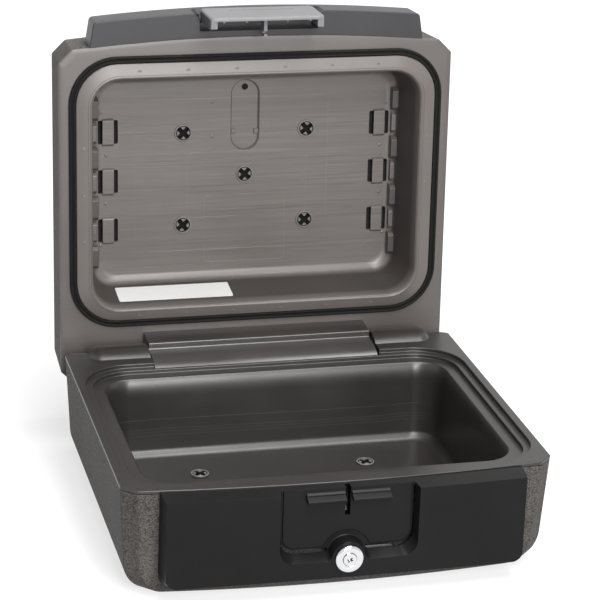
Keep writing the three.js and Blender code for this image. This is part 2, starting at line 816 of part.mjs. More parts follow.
function catchBars() {
  const floorY = frontMiddleY - recessFloorReach + recessWall / 2;
  const tipY = frontMiddleY - recessFloorReach - catchReach;
  const profile = polygon([
    [floorY, deckZ - catchTopDrop], [tipY, deckZ - catchTipDrop],
    [tipY, deckZ - catchBottomDrop], [floorY, deckZ - catchBottomDrop],
  ]);
  return [prismX(profile, catchInnerX, catchOuterX), prismX(profile, -catchOuterX, -catchInnerX)];
}

function panelScrewPlaces() {
  const places = [];
  for (let row = 0; row < 2; row += 1) {
    const z = deckZ - panelScrewTopDrop - row * panelScrewPitch;
    places.push([-panelScrewX, z], [panelScrewX, z]);
  }
  return places;
}

// Holes or pockets round the panel's screws, through the base's front wall.
function panelScrewHoles(radius) {
  return panelScrewPlaces().map(([x, z]) => {
    const wallY = frontWallY(x, deckZ - z);
    return coneY(radius, radius, wallY - cutMargin, wallY + cutMargin * 2, x, z, pinSides);
  });
}

// The outer face of the base's front wall at a place across and down it.
function frontWallY(x, drop) {
  return frontY - frontBowAt(x, frontBow, caseHalf - cornerChamfer) + baseDraft * drop / baseHeight;
}

function frontPanel() {
  const hollow = panelBlock(panelWall);
  const block = panelBlock(0);
  const boss = lockBoss(0);
  const pan = recessBody(recessWall, recessWall).intersect(block);
  const lockZ = deckZ - lockDrop;
  const bossHollow = coneY(bossFaceRadius - recessWall * 2, bossFloorRadius - recessWall * 2,
    frontMiddleY - panelReach + panelWall, frontMiddleY, 0, lockZ, roundSides);
  const screwBosses = panelScrewPlaces().map(([x, z]) => coneY(screwBossRadius, screwBossRadius,
    frontMiddleY - panelReach + panelWall, frontWallY(x, deckZ - z) - fitGap, x, z, pinSides));
  const body = joined(cut(block, hollow), pan, ...screwBosses.map((column) => column.intersect(block)));
  const channel = box(-channelWidth / 2, channelWidth / 2, frontMiddleY - panelReach - cutMargin,
    frontMiddleY + cutMargin, deckZ - channelDrop, deckZ + cutMargin);
  const screwBores = panelScrewPlaces().map(([x, z]) => coneY(screwBoreRadius,
    screwBoreRadius, frontWallY(x, deckZ - z) - screwShankLength,
    frontWallY(x, deckZ - z) + cutMargin, x, z, pinSides));
  const opened = cut(body, recessBody(0, 0).subtract(boss), bossHollow);
  return cut(joined(opened, ...catchBars()), channel,
    coneY(lockBarrelRadius + fitGap, lockBarrelRadius + fitGap, frontMiddleY - panelReach - cutMargin,
      frontMiddleY, 0, lockZ, roundSides),
    ...screwBores);
}

// Lock

function lockBody() {
  const z = deckZ - lockDrop;
  const faceY = frontMiddleY - lockFaceReach;
  const backOfFace = frontMiddleY - panelReach - fitGap;
  const sides = roundSides * 2;
  const edgeY = faceY + lockFaceEdge;
  const edge = coneY(lockFaceRadius - lockFaceEdge, lockFaceRadius, faceY, edgeY, 0, z, sides);
  const rim = coneY(lockFaceRadius, lockFaceRadius, edgeY, backOfFace, 0, z, sides);
  const barrel = coneY(lockBarrelRadius, lockBarrelRadius, backOfFace - lockFaceEdge,
    frontMiddleY - lockBarrelEndReach, 0, z, roundSides);
  const bore = coneY(lockBoreRadius, lockBoreRadius, faceY - cutMargin, frontMiddleY, 0, z, roundSides);
  return cut(joined(edge, rim, barrel), bore);
}

function lockNut() {
  const z = deckZ - lockDrop;
  const seatY = frontMiddleY - panelReach + panelWall + fitGap;
  const nut = coneY(lockNutRadius, lockNutRadius, seatY, seatY + lockNutThickness, 0, z, hexSides);
  const bore = coneY(lockBarrelRadius + fitGap, lockBarrelRadius + fitGap, seatY - cutMargin,
    seatY + lockNutThickness + cutMargin, 0, z, roundSides);
  return cut(nut, bore);
}

function lockPlug() {
  const faceY = -lockFaceReach - lockPlugProud;
  const camY = -camOuterReach;
  const bodyEnd = camY - fitGap;
  const body = coneY(lockPlugRadius, lockPlugRadius, faceY, bodyEnd, 0, 0, roundSides);
  const tail = coneY(tailRadius, tailRadius, bodyEnd - fitGap, camY + camThickness, 0, 0, pinSides);
  const tap = coneY(screwBoreRadius, screwBoreRadius, camY - camThickness * 2, cutMargin, 0, 0, pinSides);
  const key = coneY(keyholeRadius, keyholeRadius, faceY - cutMargin, faceY + keyholeDepth, 0, 0, pinSides);
  const slots = Array.from({ length: keySlotCount }, (_, turn) => {
    const geometry = new THREE.BoxGeometry(keySlotLength, keySlotDepth * 2, keySlotWidth);
    geometry.rotateY(turn * Math.PI / keySlotCount);
    geometry.translate(0, faceY, 0);
    return solid(geometry);
  });
  return cut(joined(body, tail), tap, key, ...slots);
}

function lockCam() {
  const y0 = -camOuterReach;
  const shape = new THREE.Shape();
  const half = camWidth / 2;
  const hubAngle = Math.asin(half / camHubRadius);
  shape.absarc(0, 0, camHubRadius, hubAngle, Math.PI * 2 - hubAngle);
  shape.absarc(camReach - half, 0, half, -Math.PI / 2, Math.PI / 2);
  const geometry = extruded(shape, camThickness);
  geometry.rotateX(Math.PI / 2);
  geometry.translate(0, y0 + camThickness, 0);
  const boreRadius = tailRadius + fitGap;
  const bore = coneY(boreRadius, boreRadius, y0 - cutMargin, y0 + cutMargin, 0, 0, pinSides);
  return cut(solid(geometry), bore);
}

function camScrew() {
  const seatY = -camOuterReach + camThickness + fitGap;
  const topY = seatY + camScrewHeadHeight;
  const head = coneY(camScrewHeadRadius, camScrewHeadRadius, seatY, topY, 0, 0, pinSides);
  const shank = coneY(screwShankRadius, screwShankRadius, seatY - camThickness * 2,
    seatY + camScrewHeadHeight / 2, 0, 0, pinSides);
  return joined(head, shank);
}

// Lid pieces

function lidShell() {
  const radii = { side: lidEdgeRadius, front: lidEdgeRadius, back: lidEdgeRadius };
  const form = { side: 1, depth: lidHeight, draft: lidDraft, radii };
  const outer = caseBody({ ...form, start: flangeThickness + seamGap, offset: 0 });
  const inner = caseBody({ ...form, start: 0, offset: shellWall });
  return cut(outer, inner, ...reliefBarrels(reliefWall + fitGap), ...gripScrewHoles(screwBoreRadius));
}

function reliefBarrels(extra) {
  const end = humpEndX + reliefGap + extra;
  return [1, -1].map((sign) => humpBarrel(reliefRadius + extra, end, sign));
}

function hollow(offset, mouth) {
  return tubBody({
    halfWidth: hollowHalfWidth, front: hollowFrontY, back: hollowBackY, corner: hollowCorner,
    brim: -ringHeight, mouth, floor: hollowDepth, draft: hollowDraft, fillet: hollowFillet, offset, side: 1,
  });
}

function ring() {
  const outline = roundedBlockOutline(ringHalfWidth, ringFrontY, ringBackY, ringCorner);
  const lip = roundedBlockOutline(
    ringHalfWidth - gasketEdge, ringFrontY + gasketEdge, ringBackY - gasketEdge, ringCorner - gasketEdge);
  return solid(loft([
    { points: outline, z: deckZ + flangeThickness / 2 },
    { points: outline, z: deckZ - ringHeight + gasketEdge },
    { points: lip, z: deckZ - ringHeight },
  ]));
}

function bridgePlaces() {
  const places = [];
  for (let i = 0; i < bridgeCount; i += 1) {
    [-1, 1].forEach((sign) => places.push([sign * bridgeX, bridgeFirstY + i * bridgePitch]));
  }
  return places;
}

const lidFloorZ = deckZ + hollowDepth;

function around(x, y, width, length, z0, z1) {
  return box(x - width / 2, x + width / 2, y - length / 2, y + length / 2, z0, z1);
}

// A strap that bridges its slot and stands a little off the lid's floor.
function bridges() {
  const half = slotLength / 2 + bridgeThickness;
  const low = lidFloorZ - bridgeRise;
  const shoulder = low + bridgeThickness;
  return bridgePlaces().map(([x, y]) => {
    const profile = polygon([
      [y - half, lidFloorZ], [y - half, shoulder], [y - half + bridgeThickness, low],
      [y + half - bridgeThickness, low], [y + half, shoulder], [y + half, lidFloorZ],
    ]);
    return prismX(profile, x - bridgeWidth / 2, x + bridgeWidth / 2);
  });
}

function slotCups(grow, depth) {
  return bridgePlaces().map(([x, y]) => around(x, y, slotWidth + grow * 2, slotLength + grow * 2,
    lidFloorZ - cutMargin * 2, lidFloorZ + depth));
}

function sideTabs() {
  const tabs = [];
  const wallX = hollowHalfWidth - hollowDraft;
  for (let i = 0; i < tabCount; i += 1) {
    const y = tabFirstY + i * bridgePitch;
    [-1, 1].forEach((sign) => {
      const x = sign * wallX;
      const low = lidFloorZ - tabHeight;
      const shape = polygon([
        [y - tabLength / 2, lidFloorZ + linerWall / 2], [y - tabLength / 2, low + tabBevel],
        [y - tabLength / 2 + tabBevel, low], [y + tabLength / 2 - tabBevel, low],
        [y + tabLength / 2, low + tabBevel], [y + tabLength / 2, lidFloorZ + linerWall / 2],
      ]);
      tabs.push(prismX(shape, x - tabWidth / 2, x + tabWidth / 2));
    });
  }
  return tabs;
}

function pill(grow, depth) {
  const radius = pillHalfWidth + grow;
  const outline = roundedBlockOutline(radius, pillFrontY - grow, pillBackY + grow, radius);
  return plate(outline, lidFloorZ - cutMargin, lidFloorZ + depth);
}

function lidLiner() {
  const flange = plate(caseOutline(evenInset(0)), deckZ, deckZ + flangeThickness);
  const inside = plate(caseOutline(evenInset(shellWall / 2)), deckZ, deckZ + lidHeight / 2);
  const domes = reliefBarrels(reliefWall).map((dome) => dome.intersect(inside));
  const below = plate(caseOutline(evenInset(-cutMargin)), lidFloorZ, lidFloorZ + lidHeight);
  const cups = slotCups(linerWall, slotDepth + linerWall).map((cup) => cup.intersect(below));
  const pillCup = pill(linerWall, pillDepth + linerWall).intersect(below);
  const outer = joined(flange, ring(), hollow(linerWall, 0), ...domes, pillCup, ...cups);
  const stems = lidPlugPlaces().map(([x, y]) => cylinderZ(plugStemRadius + fitGap,
    lidFloorZ - cutMargin, lidFloorZ + cutMargin, x, y, plugSides));
  const hole = cylinderZ(pillHoleRadius, lidFloorZ, lidFloorZ + pillDepth + linerWall + cutMargin,
    0, pillHoleY, plugSides);
  const strapHoles = strapScrewPlaces().map(([x, y]) => cylinderZ(screwBoreRadius,
    deckZ - cutMargin, deckZ + cutMargin, x, y, pinSides));
  const bevel = mouthBevel(hollowHalfWidth, hollowFrontY, hollowBackY, hollowCorner, hollowMouthChamfer,
    deckZ - ringHeight, -1);
  const body = cut(outer, hollow(0, -ringHeight - cutMargin), bevel,
    ...slotCups(0, slotDepth), pill(0, pillDepth), hole, ...stems, ...reliefBarrels(0), ...strapHoles);
  const insideHollow = hollow(linerWall / 2, -ringHeight + cutMargin);
  return joined(body, ...bridges(), ...sideTabs().map((tab) => tab.intersect(insideHollow)));
}

function lidInsulation() {
  const radii = { side: lidEdgeRadius, front: lidEdgeRadius, back: lidEdgeRadius };
  const offset = shellWall + fillGap;
  const start = flangeThickness + fillGap;
  const block = caseBody({ side: 1, start, depth: lidHeight, draft: lidDraft, radii, offset });
  const plugs = lidPlugPlaces().map(([x, y]) => cylinderZ(plugStemRadius + fillGap, lidFloorZ,
    lidFloorZ + plugStemLength + fillGap, x, y, plugSides));
  const heads = strapScrewPlaces().map(([x, y]) => cylinderZ(screwHeadRadius + screwPocketMargin,
    deckZ, deckZ + flangeThickness + screwHeadHeight + screwPocketMargin, x, y, pinSides));
  return cut(block, hollow(linerWall + fillGap, 0), ...reliefBarrels(reliefWall + fillGap),
    ...slotCups(linerWall + fillGap, slotDepth + linerWall + fillGap),
    pill(linerWall + fillGap, pillDepth + linerWall + fillGap),
    ...plugs, ...heads, ...gripScrewHoles(screwHeadRadius + screwPocketMargin));
}

function gasket() {
  const inner = ringHalfWidth + fitGap;
  const frame = (grow, z0, z1) => plate(roundedBlockOutline(inner + grow, ringFrontY - fitGap - grow,
    ringBackY + fitGap + grow, ringCorner + fitGap + grow), z0, z1);
  const top = deckZ - fitGap;
  const low = top - gasketHeight;
  const outer = (grow, z) => ({
    points: roundedBlockOutline(inner + grow, ringFrontY - fitGap - grow, ringBackY + fitGap + grow,
      ringCorner + fitGap + grow),
    z,
  });
  const body = solid(loft([
    outer(gasketWidth, top), outer(gasketWidth, low + gasketEdge), outer(gasketWidth - gasketEdge, low),
  ]));
  return cut(body, frame(0, low - cutMargin, top + cutMargin));
}

function careLabel() {
  const labelX = hollowCorner + labelCornerGap + labelWidth / 2 - hollowHalfWidth;
  const labelRise = hollowDepth - hollowFillet - labelFloorGap - labelHeight / 2;
  const lean = Math.atan2(hollowDraft, hollowDepth + ringHeight);
  const geometry = new THREE.BoxGeometry(labelWidth, labelThickness, labelHeight);
  geometry.rotateX(lean);
  const inset = hollowDraft * (labelRise + ringHeight) / (hollowDepth + ringHeight);
  geometry.translate(labelX, hollowBackY - inset - labelThickness / 2 - fitGap, deckZ + labelRise);
  return solid(geometry);
}

// Hinge strap

function strapProfile() {
  const shape = new THREE.Shape();
  const y = (across) => hingeY + across;
  const z = (up) => hingeZ + up;
  const top = hingeDrop - fitGap;
  shape.moveTo(y(-strapFrontReach), z(top));
  shape.lineTo(y(-strapStepReach), z(strapStepRise));
  shape.quadraticCurveTo(y(-strapStepReach), z(-strapNeckDrop), y(-strapNeckReach), z(-strapNeckDrop));
  shape.lineTo(y(-strapTipReach), z(-strapTipDrop));
  shape.lineTo(y(-strapTipReach + strapTipThickness), z(-strapTipDrop - strapTipTaper));
  shape.lineTo(y(-strapNeckReach + strapTipThickness + strapWall), z(-strapNeckDrop - strapWall));
  shape.lineTo(y(-strapWebReach), z(-barrelRadius + strapTipTaper));
  shape.absarc(y(0), z(0), barrelRadius, -Math.PI / 2, 0);
  shape.lineTo(y(barrelRadius), z(top));
  return shape;
}

function strapScrewPlaces() {
  return strapScrewX.flatMap((x) => [[-x, strapScrewY], [x, strapScrewY]]);
}

function hingeStrap() {
  const half = pocketHalfWidth - strapSideGap;
  const body = prismX(strapProfile(), -half, half);
  const pitch = (half * 2 - strapRibThickness) / (strapRibCount + 1);
  const low = hingeZ + strapNeckDrop + strapWall;
  const backY = hingeY + barrelRadius - strapWall;
  const room = polygon([
    [hingeY - strapStepReach + strapWall, low],
    [hingeY - rodBossRadius + strapWebReach, low + rodBossRadius],
    [backY, low + rodBossRadius],
    [backY, deckZ + cutMargin],
    [hingeY - strapFrontReach + strapWall + strapTipTaper, deckZ + cutMargin],
  ]);
  const cells = [];
  for (let i = 0; i <= strapRibCount; i += 1) {
    const x0 = -half + strapRibThickness / 2 + i * pitch + strapWall / 2;
    cells.push(prismX(room, x0, x0 + pitch - strapWall));
  }
  const screwBores = strapScrewPlaces().map(([x, y]) => cylinderZ(screwBoreRadius,
    deckZ - screwShankLength - fitGap, deckZ + cutMargin, x, y, pinSides));
  const posts = strapScrewPlaces().map(([x, y]) => cylinderZ(screwBossRadius, hingeZ + rodBossRadius,
    deckZ - fitGap, x, y, pinSides));
  const rodBore = hinged(rodRadius + rodClearance, caseHalf, pinSides);
  return cut(joined(cut(body, ...cells), ...posts), ...screwBores, rodBore);
}

// Grip bar

function gripOutline(reach, narrowing, rise) {
  const atGrip = frontBowAt(gripHalfWidth, frontBow, caseHalf - cornerChamfer);
  return barOutline({
    rootHalf: gripHalfWidth - narrowing, tipHalf: gripHalfWidth - gripTipNarrowing - narrowing,
    rootY: lidFrontY(rise) - atGrip, tipY: frontY - atGrip - reach,
    rootBow: frontBow - atGrip, tipBow: frontBow - atGrip,
  });
}

function lidFrontY(rise) {
  return frontY - fitGap + lidDraft * rise / lidHeight;
}

function gripBlock() {
  const level = (rise, reach, narrowing) => (
    { points: gripOutline(reach, narrowing, rise), z: deckZ + rise });
  return solid(loft([
    level(0, gripReach, 0),
    level(gripFaceHeight, gripReach - gripLean, gripTopNarrowing / 2),
    level(gripKneeHeight, gripKneeReach, gripTopNarrowing),
    level(gripHeight, gripTopReach, gripTopNarrowing),
  ]));
}

// The latch's pocket in the grip bar, with flared cheeks at the bar's face.
function gripPocket() {
  const level = (half, height, y) => ({
    points: outlinePoints(polygonClosed([
      [-half, deckZ - cutMargin], [half, deckZ - cutMargin],
      [half, deckZ + height - gripPocketFlare / 2], [half - gripPocketFlare / 2, deckZ + height],
      [-half + gripPocketFlare / 2, deckZ + height], [-half, deckZ + height - gripPocketFlare / 2],
    ]), 1),
    y,
  });
  const floorY = frontMiddleY - gripPocketFloor;
  const kneeY = frontMiddleY - gripReach + gripPocketFlare;
  const faceY = frontMiddleY - gripReach - gripPocketFlare;
  return frontLoft([
    level(gripPocketHalfWidth, gripPocketHeight, floorY),
    level(gripPocketHalfWidth, gripPocketHeight, kneeY),
    level(gripPocketHalfWidth + gripPocketFlare * 2, gripPocketHeight + gripPocketFlare * 2, faceY),
  ]);
}

function polygonClosed(points) {
  const shape = polygon(points);
  return shape;
}

function gripScrewPlaces() {
  return gripScrewX.flatMap((x) => [[-x, deckZ + gripScrewRise], [x, deckZ + gripScrewRise]]);
}

function lidWallY(x, rise) {
  return frontY - frontBowAt(x, frontBow, caseHalf - cornerChamfer) + lidDraft * rise / lidHeight;
}

function gripScrewHoles(radius) {
  return gripScrewPlaces().map(([x, z]) => {
    const wallY = lidWallY(x, z - deckZ);
    return coneY(radius, radius, wallY - cutMargin, wallY + cutMargin * 2, x, z, pinSides);
  });
}

function gripBar() {
  const cellStart = gripPocketHalfWidth + gripPocketFlare + gripCellGap;
  const cellEnd = gripHalfWidth - gripTipNarrowing - gripWall;
  const faceY = frontY - gripReach + gripWall;
  const cells = [-1, 1].flatMap((sign) => gripScrewX.map((screwX, i) => {
    const middle = (gripScrewX[0] + gripScrewX[1]) / 2;
    const from = i === 0 ? cellStart : middle + gripWall / 2;
    const to = i === 0 ? middle - gripWall / 2 : cellEnd;
    const x0 = Math.min(sign * from, sign * to);
    const x1 = Math.max(sign * from, sign * to);
    const roofZ = deckZ + gripFaceHeight - gripWall;
    const room = box(x0, x1, faceY, frontY + cutMargin, deckZ + gripWall, roofZ);
    const post = coneY(screwBossRadius, screwBossRadius, faceY - cutMargin, frontY + cutMargin,
      sign * screwX, deckZ + gripScrewRise, pinSides);
    return room.subtract(post);
  }));
  const bores = gripScrewPlaces().map(([x, z]) => {
    const wallY = lidWallY(x, z - deckZ);
    return coneY(screwBoreRadius, screwBoreRadius, wallY - screwShankLength, wallY + cutMargin,
      x, z, pinSides);
  });
  const pinHoleHalf = latchPinHalf() + fitGap;
  const pinHole = cylinderX(latchPinRadius + latchPinClearance, -pinHoleHalf, pinHoleHalf,
    latchPivotY(), latchPivotZ(), pinSides);
  return cut(gripBlock(), gripPocket(), ...cells, ...bores, pinHole);
}

// Latch

function latchPivotY() {
  return frontY - latchPivotReach;
}

function latchPivotZ() {
  return deckZ + latchPivotRise;
}

function latchPinHalf() {
  return gripPocketHalfWidth + gripPocketFlare / 2;
}

function latchPin() {
  return cylinderX(latchPinRadius, -latchPinHalf(), latchPinHalf(), latchPivotY(), latchPivotZ(), pinSides);
}

function latchWasher(sign) {
  const from = latchHalfWidth + washerGap;
  const to = gripPocketHalfWidth - washerGap;
  const x0 = Math.min(sign * from, sign * to);
  const x1 = Math.max(sign * from, sign * to);
  const disc = cylinderX(washerRadius, x0, x1, latchPivotY(), latchPivotZ(), plugSides);
  const bore = cylinderX(latchPinRadius + latchPinClearance, x0 - cutMargin, x1 + cutMargin,
    latchPivotY(), latchPivotZ(), pinSides);
  return cut(disc, bore);
}

// The latch's face in front view, with cut corners, drawn in by an inset.
function latchFace(inset, y) {
  const half = latchHalfWidth - inset;
  const low = deckZ - latchDrop + inset;
  const high = deckZ + latchTop - inset;
  const corner = latchCorner;
  const points = [
    [-half + corner, low], [half - corner, low], [half, low + corner], [half, high - corner],
    [half - corner, high], [-half + corner, high], [-half, high - corner], [-half, low + corner],
  ];
  return { points: outlinePoints(polygonClosed(points), 1), y };
}

function latchCover() {
  const faceY = frontY - latchFaceReach;
  const innerY = faceY + latchThickness;
  const skirtY = faceY + latchSkirt;
  const outer = frontLoft([
    latchFace(latchBevel, faceY), latchFace(0, faceY + latchBevel), latchFace(0, skirtY),
  ]);
  const half = latchHalfWidth - latchWall;
  const room = box(-half, half, innerY, skirtY + cutMargin,
    deckZ - latchDrop - cutMargin, deckZ + latchTop + cutMargin);
  const ears = [-1, 1].map((sign) => {
    const x0 = Math.min(sign * half, sign * latchHalfWidth);
    const x1 = Math.max(sign * half, sign * latchHalfWidth);
    return cylinderX(latchEarRadius, x0, x1, latchPivotY(), latchPivotZ(), plugSides);
  });
  const hookY = frontY - hookReach;
  const hookZ = deckZ - hookTopDrop;
  const hooks = [-1, 1].map((sign) => {
    const x0 = Math.min(sign * hookInnerX, sign * hookOuterX);
    const x1 = Math.max(sign * hookInnerX, sign * hookOuterX);
    return box(x0, x1, innerY - latchThickness / 2, hookY, hookZ - hookThickness, hookZ);
  });
  const middleRibX = (hookInnerX + hookOuterX) / 2;
  const endRibX = hookOuterX + hookEndRibOut;
  const ribs = [-endRibX, -middleRibX, middleRibX, endRibX].map((x) => box(
    x - hookRibThickness / 2, x + hookRibThickness / 2, innerY - latchThickness / 2, hookY - hookRibThickness,
    hookZ - hookRibDrop, hookZ));
  const bore = cylinderX(latchPinRadius + latchPinClearance, -caseHalf, caseHalf,
    latchPivotY(), latchPivotZ(), pinSides);
  const socketHalf = tongueWidth / 2 + latchWall;
  const socket = box(-socketHalf, socketHalf, innerY - latchThickness / 2, innerY + tongueSocketDepth,
    deckZ - tongueBottomDrop - latchWall, deckZ - tongueTopDrop + latchWall);
  const roomHalf = tongueWidth / 2 + fitGap;
  const socketRoom = box(-roomHalf, roomHalf, innerY - fitGap, skirtY + cutMargin,
    deckZ - tongueBottomDrop - fitGap, deckZ - tongueTopDrop + fitGap);
  return cut(joined(cut(outer, room), ...ears, ...hooks, ...ribs, socket), bore, socketRoom);
}

function latchTongue() {
  const innerY = frontY - latchFaceReach + latchThickness;
  const tipY = frontY - tongueTipReach;
  const blade = box(-tongueWidth / 2, tongueWidth / 2, innerY, tipY,
    deckZ - tongueBottomDrop, deckZ - tongueTopDrop);
  const notch = box(-tongueWidth, tongueWidth, frontY - notchOuterReach, frontY - notchInnerReach,
    deckZ - tongueBottomDrop - cutMargin, deckZ - notchTopDrop);
  return cut(blade, notch);
}

// Screws

function screwY(x, z, wallInnerY) {
  const seat = wallInnerY + fitGap + bowFlat;
  const tipY = seat - shellWall - screwShankLength + screwHeadHeight * 2;
  const head = coneY(screwHeadRadius, screwHeadRadius, seat, seat + screwHeadHeight, x, z, pinSides);
  const shank = coneY(screwShankRadius, screwShankRadius, tipY, seat + screwHeadHeight / 2, x, z, pinSides);
  return joined(head, shank);
}

function strapScrew(x, y) {
  const seat = deckZ + flangeThickness + fitGap;
  return joined(
    cylinderZ(screwHeadRadius, seat, seat + screwHeadHeight, x, y, pinSides),
    cylinderZ(screwShankRadius, deckZ - screwShankLength + fitGap * 2, seat + screwHeadHeight / 2,
      x, y, pinSides));
}

// Assembly

const base = new THREE.Group();
base.add(mesh('base_shell', baseShell(), 'shell'));
base.add(mesh('base_liner', baseLiner(), 'liner'));
base.add(mesh('base_insulation', baseInsulation(), 'fill'));
basePlugPlaces().forEach(([x, y], i) => {
  base.add(mesh(`base_fill_plug_${i + 1}`, fillPlug(x, y, deckZ - cavityDepth, 1), 'plug'));
});
base.add(mesh('hinge_rod', hingeRod(), 'steel'));
base.add(mesh('front_panel', frontPanel(), 'panel'));
panelScrewPlaces().forEach(([x, z], i) => {
  const wallY = frontWallY(Math.abs(x) + screwHeadRadius, deckZ - z + screwHeadRadius);
  base.add(mesh(`panel_screw_${i + 1}`, screwY(x, z, wallY + shellWall), 'steel'));
});
base.add(mesh('lock_body', lockBody(), 'chrome'));
base.add(mesh('lock_nut', lockNut(), 'steel'));

const lock = new THREE.Group();
lock.position.set(0, frontMiddleY, deckZ - lockDrop);
lock.add(mesh('lock_plug', lockPlug(), 'chrome'));
lock.add(mesh('lock_cam', lockCam(), 'steel'));
lock.add(mesh('lock_cam_screw', camScrew(), 'steel'));
base.add(lock);

const lid = new THREE.Group();
lid.position.set(0, -hingeY, shutGap - hingeZ);
lid.add(mesh('lid_shell', lidShell(), 'shell'));
lid.add(mesh('lid_liner', lidLiner(), 'lidLiner'));
lid.add(mesh('lid_insulation', lidInsulation(), 'fill'));
lidPlugPlaces().forEach(([x, y], i) => {
  lid.add(mesh(`lid_fill_plug_${i + 1}`, fillPlug(x, y, lidFloorZ, -1), 'plug'));
});
lid.add(mesh('lid_gasket', gasket(), 'gasket'));
lid.add(mesh('care_label', careLabel(), 'label'));
lid.add(mesh('hinge_strap', hingeStrap(), 'liner'));
strapScrewPlaces().forEach(([x, y], i) => {
  lid.add(mesh(`strap_screw_${i + 1}`, strapScrew(x, y), 'steel'));
});
lid.add(mesh('grip_bar', gripBar(), 'grip'));
gripScrewPlaces().forEach(([x, z], i) => {
  const wallY = lidWallY(Math.abs(x) + screwHeadRadius, z - deckZ + screwHeadRadius);
  lid.add(mesh(`grip_screw_${i + 1}`, screwY(x, z, wallY + shellWall), 'steel'));
});
lid.add(mesh('latch_pin', latchPin(), 'steel'));
lid.add(mesh('latch_washer_left', latchWasher(-1), 'steel'));
lid.add(mesh('latch_washer_right', latchWasher(1), 'steel'));

const latch = new THREE.Group();
latch.add(mesh('latch_cover', latchCover(), 'latch'));
latch.add(mesh('latch_tongue', latchTongue(), 'latch'));
lid.add(latch);

const lidPivot = new THREE.Group();
lidPivot.position.set(0, hingeY, hingeZ);
lidPivot.rotation.x = -openAngle;
lidPivot.add(lid);

const safe = new THREE.Group();
safe.add(base, lidPivot);

export default safe;
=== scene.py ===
"""Looks of a moulded fire chest with a hinged lid, a flip latch and a key lock."""

import math
from functools import reduce
from types import SimpleNamespace

import bmesh
import bpy
from bpy.props import FloatProperty, FloatVectorProperty, PointerProperty
from mathutils import Matrix, Vector


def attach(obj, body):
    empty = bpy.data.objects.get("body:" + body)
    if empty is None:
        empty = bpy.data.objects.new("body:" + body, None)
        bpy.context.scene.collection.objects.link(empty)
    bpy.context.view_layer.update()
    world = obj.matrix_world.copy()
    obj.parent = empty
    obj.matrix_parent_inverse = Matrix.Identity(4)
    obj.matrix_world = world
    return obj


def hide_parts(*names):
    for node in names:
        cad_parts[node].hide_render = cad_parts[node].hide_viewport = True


bl_info = {
    "name": "Fire chest",
    "version": (1, 0, 0),
    "blender": (4, 5, 0),
    "location": "3D View > Sidebar > Chest",
    "description": "Builds the moulded pieces, finishes and studio of a portable fire chest",
    "category": "Object",
}

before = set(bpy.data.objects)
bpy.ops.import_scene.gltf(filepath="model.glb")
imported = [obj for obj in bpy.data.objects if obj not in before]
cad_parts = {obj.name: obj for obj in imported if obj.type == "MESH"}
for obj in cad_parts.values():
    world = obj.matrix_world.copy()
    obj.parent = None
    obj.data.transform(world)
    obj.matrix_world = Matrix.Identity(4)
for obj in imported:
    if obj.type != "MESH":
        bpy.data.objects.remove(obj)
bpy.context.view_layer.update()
OPEN_TURN = math.radians(-92.27)
QUARTER = math.pi / 2

# Fixed lengths, in metres
RIM_LIP = 0.0007
PLUG_HOLE, PIN_HOLE = 0.0079, 0.0032
FIRST_ROW, ROW_STEP = 0.066, 0.0504
RECESS_FLOOR, RECESS_FACE = 0.0086, 0.019
MARK_WIDTH = 0.0005
PLUG_STAND = 0.0003

# How far a cutter reaches past what it cuts
PAST = 0.01


# Properties

def length(name, description, millimetres):
    """A length property with its default given in millimetres."""
    return FloatProperty(name=name, description=description, default=millimetres / 1000, min=0,
                         unit="LENGTH", precision=5)


def place(name, description, millimetres):
    """A coordinate property, which may be negative."""
    return FloatProperty(name=name, description=description, default=millimetres / 1000,
                         unit="LENGTH", precision=5)


def margins(name, description, *millimetres):
    """Margins in from the case at the side, front and back, and a corner radius."""
    return FloatVectorProperty(name=name, description=f"{description}: side, front, back and corner",
                               default=[size / 1000 for size in millimetres], size=4, min=0,
                               unit="LENGTH", precision=5)


def colour(name, description, *value):
    """A colour property."""
    return FloatVectorProperty(name=name, description=description, default=(*value, 1), size=4,
                               min=0, max=1, subtype="COLOR")


class CaseSizes(bpy.types.PropertyGroup):
    """Sizes of the two case halves"""
    width: length("Width", "Width of the case at the seam", 390)
    front: place("Front", "Where the front meets the corners", -164)
    back: place("Back", "Where the back wall stands", 172)
    bow: length("Bow", "How far the front bows out", 9)
    chamfer: length("Corner cut", "Cut of the four upright corners", 13)
    corner_round: length("Corner round", "Rounding where a corner cut meets a side", 3)
    base_height: length("Base height", "Height of the base at its seam", 106)
    lid_height: length("Lid height", "Height of the lid when shut", 78)
    base_draft: length("Base draft", "How far the base draws in toward its foot", 5.5)
    lid_draft: length("Lid draft", "How far the lid draws in toward its top", 3.2)
    wall: length("Shell wall", "Thickness of the outer shells", 2.5)
    liner_wall: length("Liner wall", "Thickness of the liners", 2.5)
    flange: length("Flange", "Thickness of the deck and the lid's flange", 3)
    seam: length("Seam", "Gap between a flange and its shell", 0.6)
    foot_side: length("Foot side round", "Bottom rounding at the sides", 30)
    foot_front: length("Foot front round", "Bottom rounding at the front", 15)
    foot_back: length("Foot back round", "Bottom rounding at the back", 20)
    lid_round: length("Lid round", "Rounding of the lid's top edges", 18)
    lip: length("Lip round", "Rounding of moulded lips", 0.8)
    hinge_y: place("Hinge Y", "Where the hinge axis lies", 159)
    hinge_drop: length("Hinge drop", "Hinge axis below the seam", 27.3)


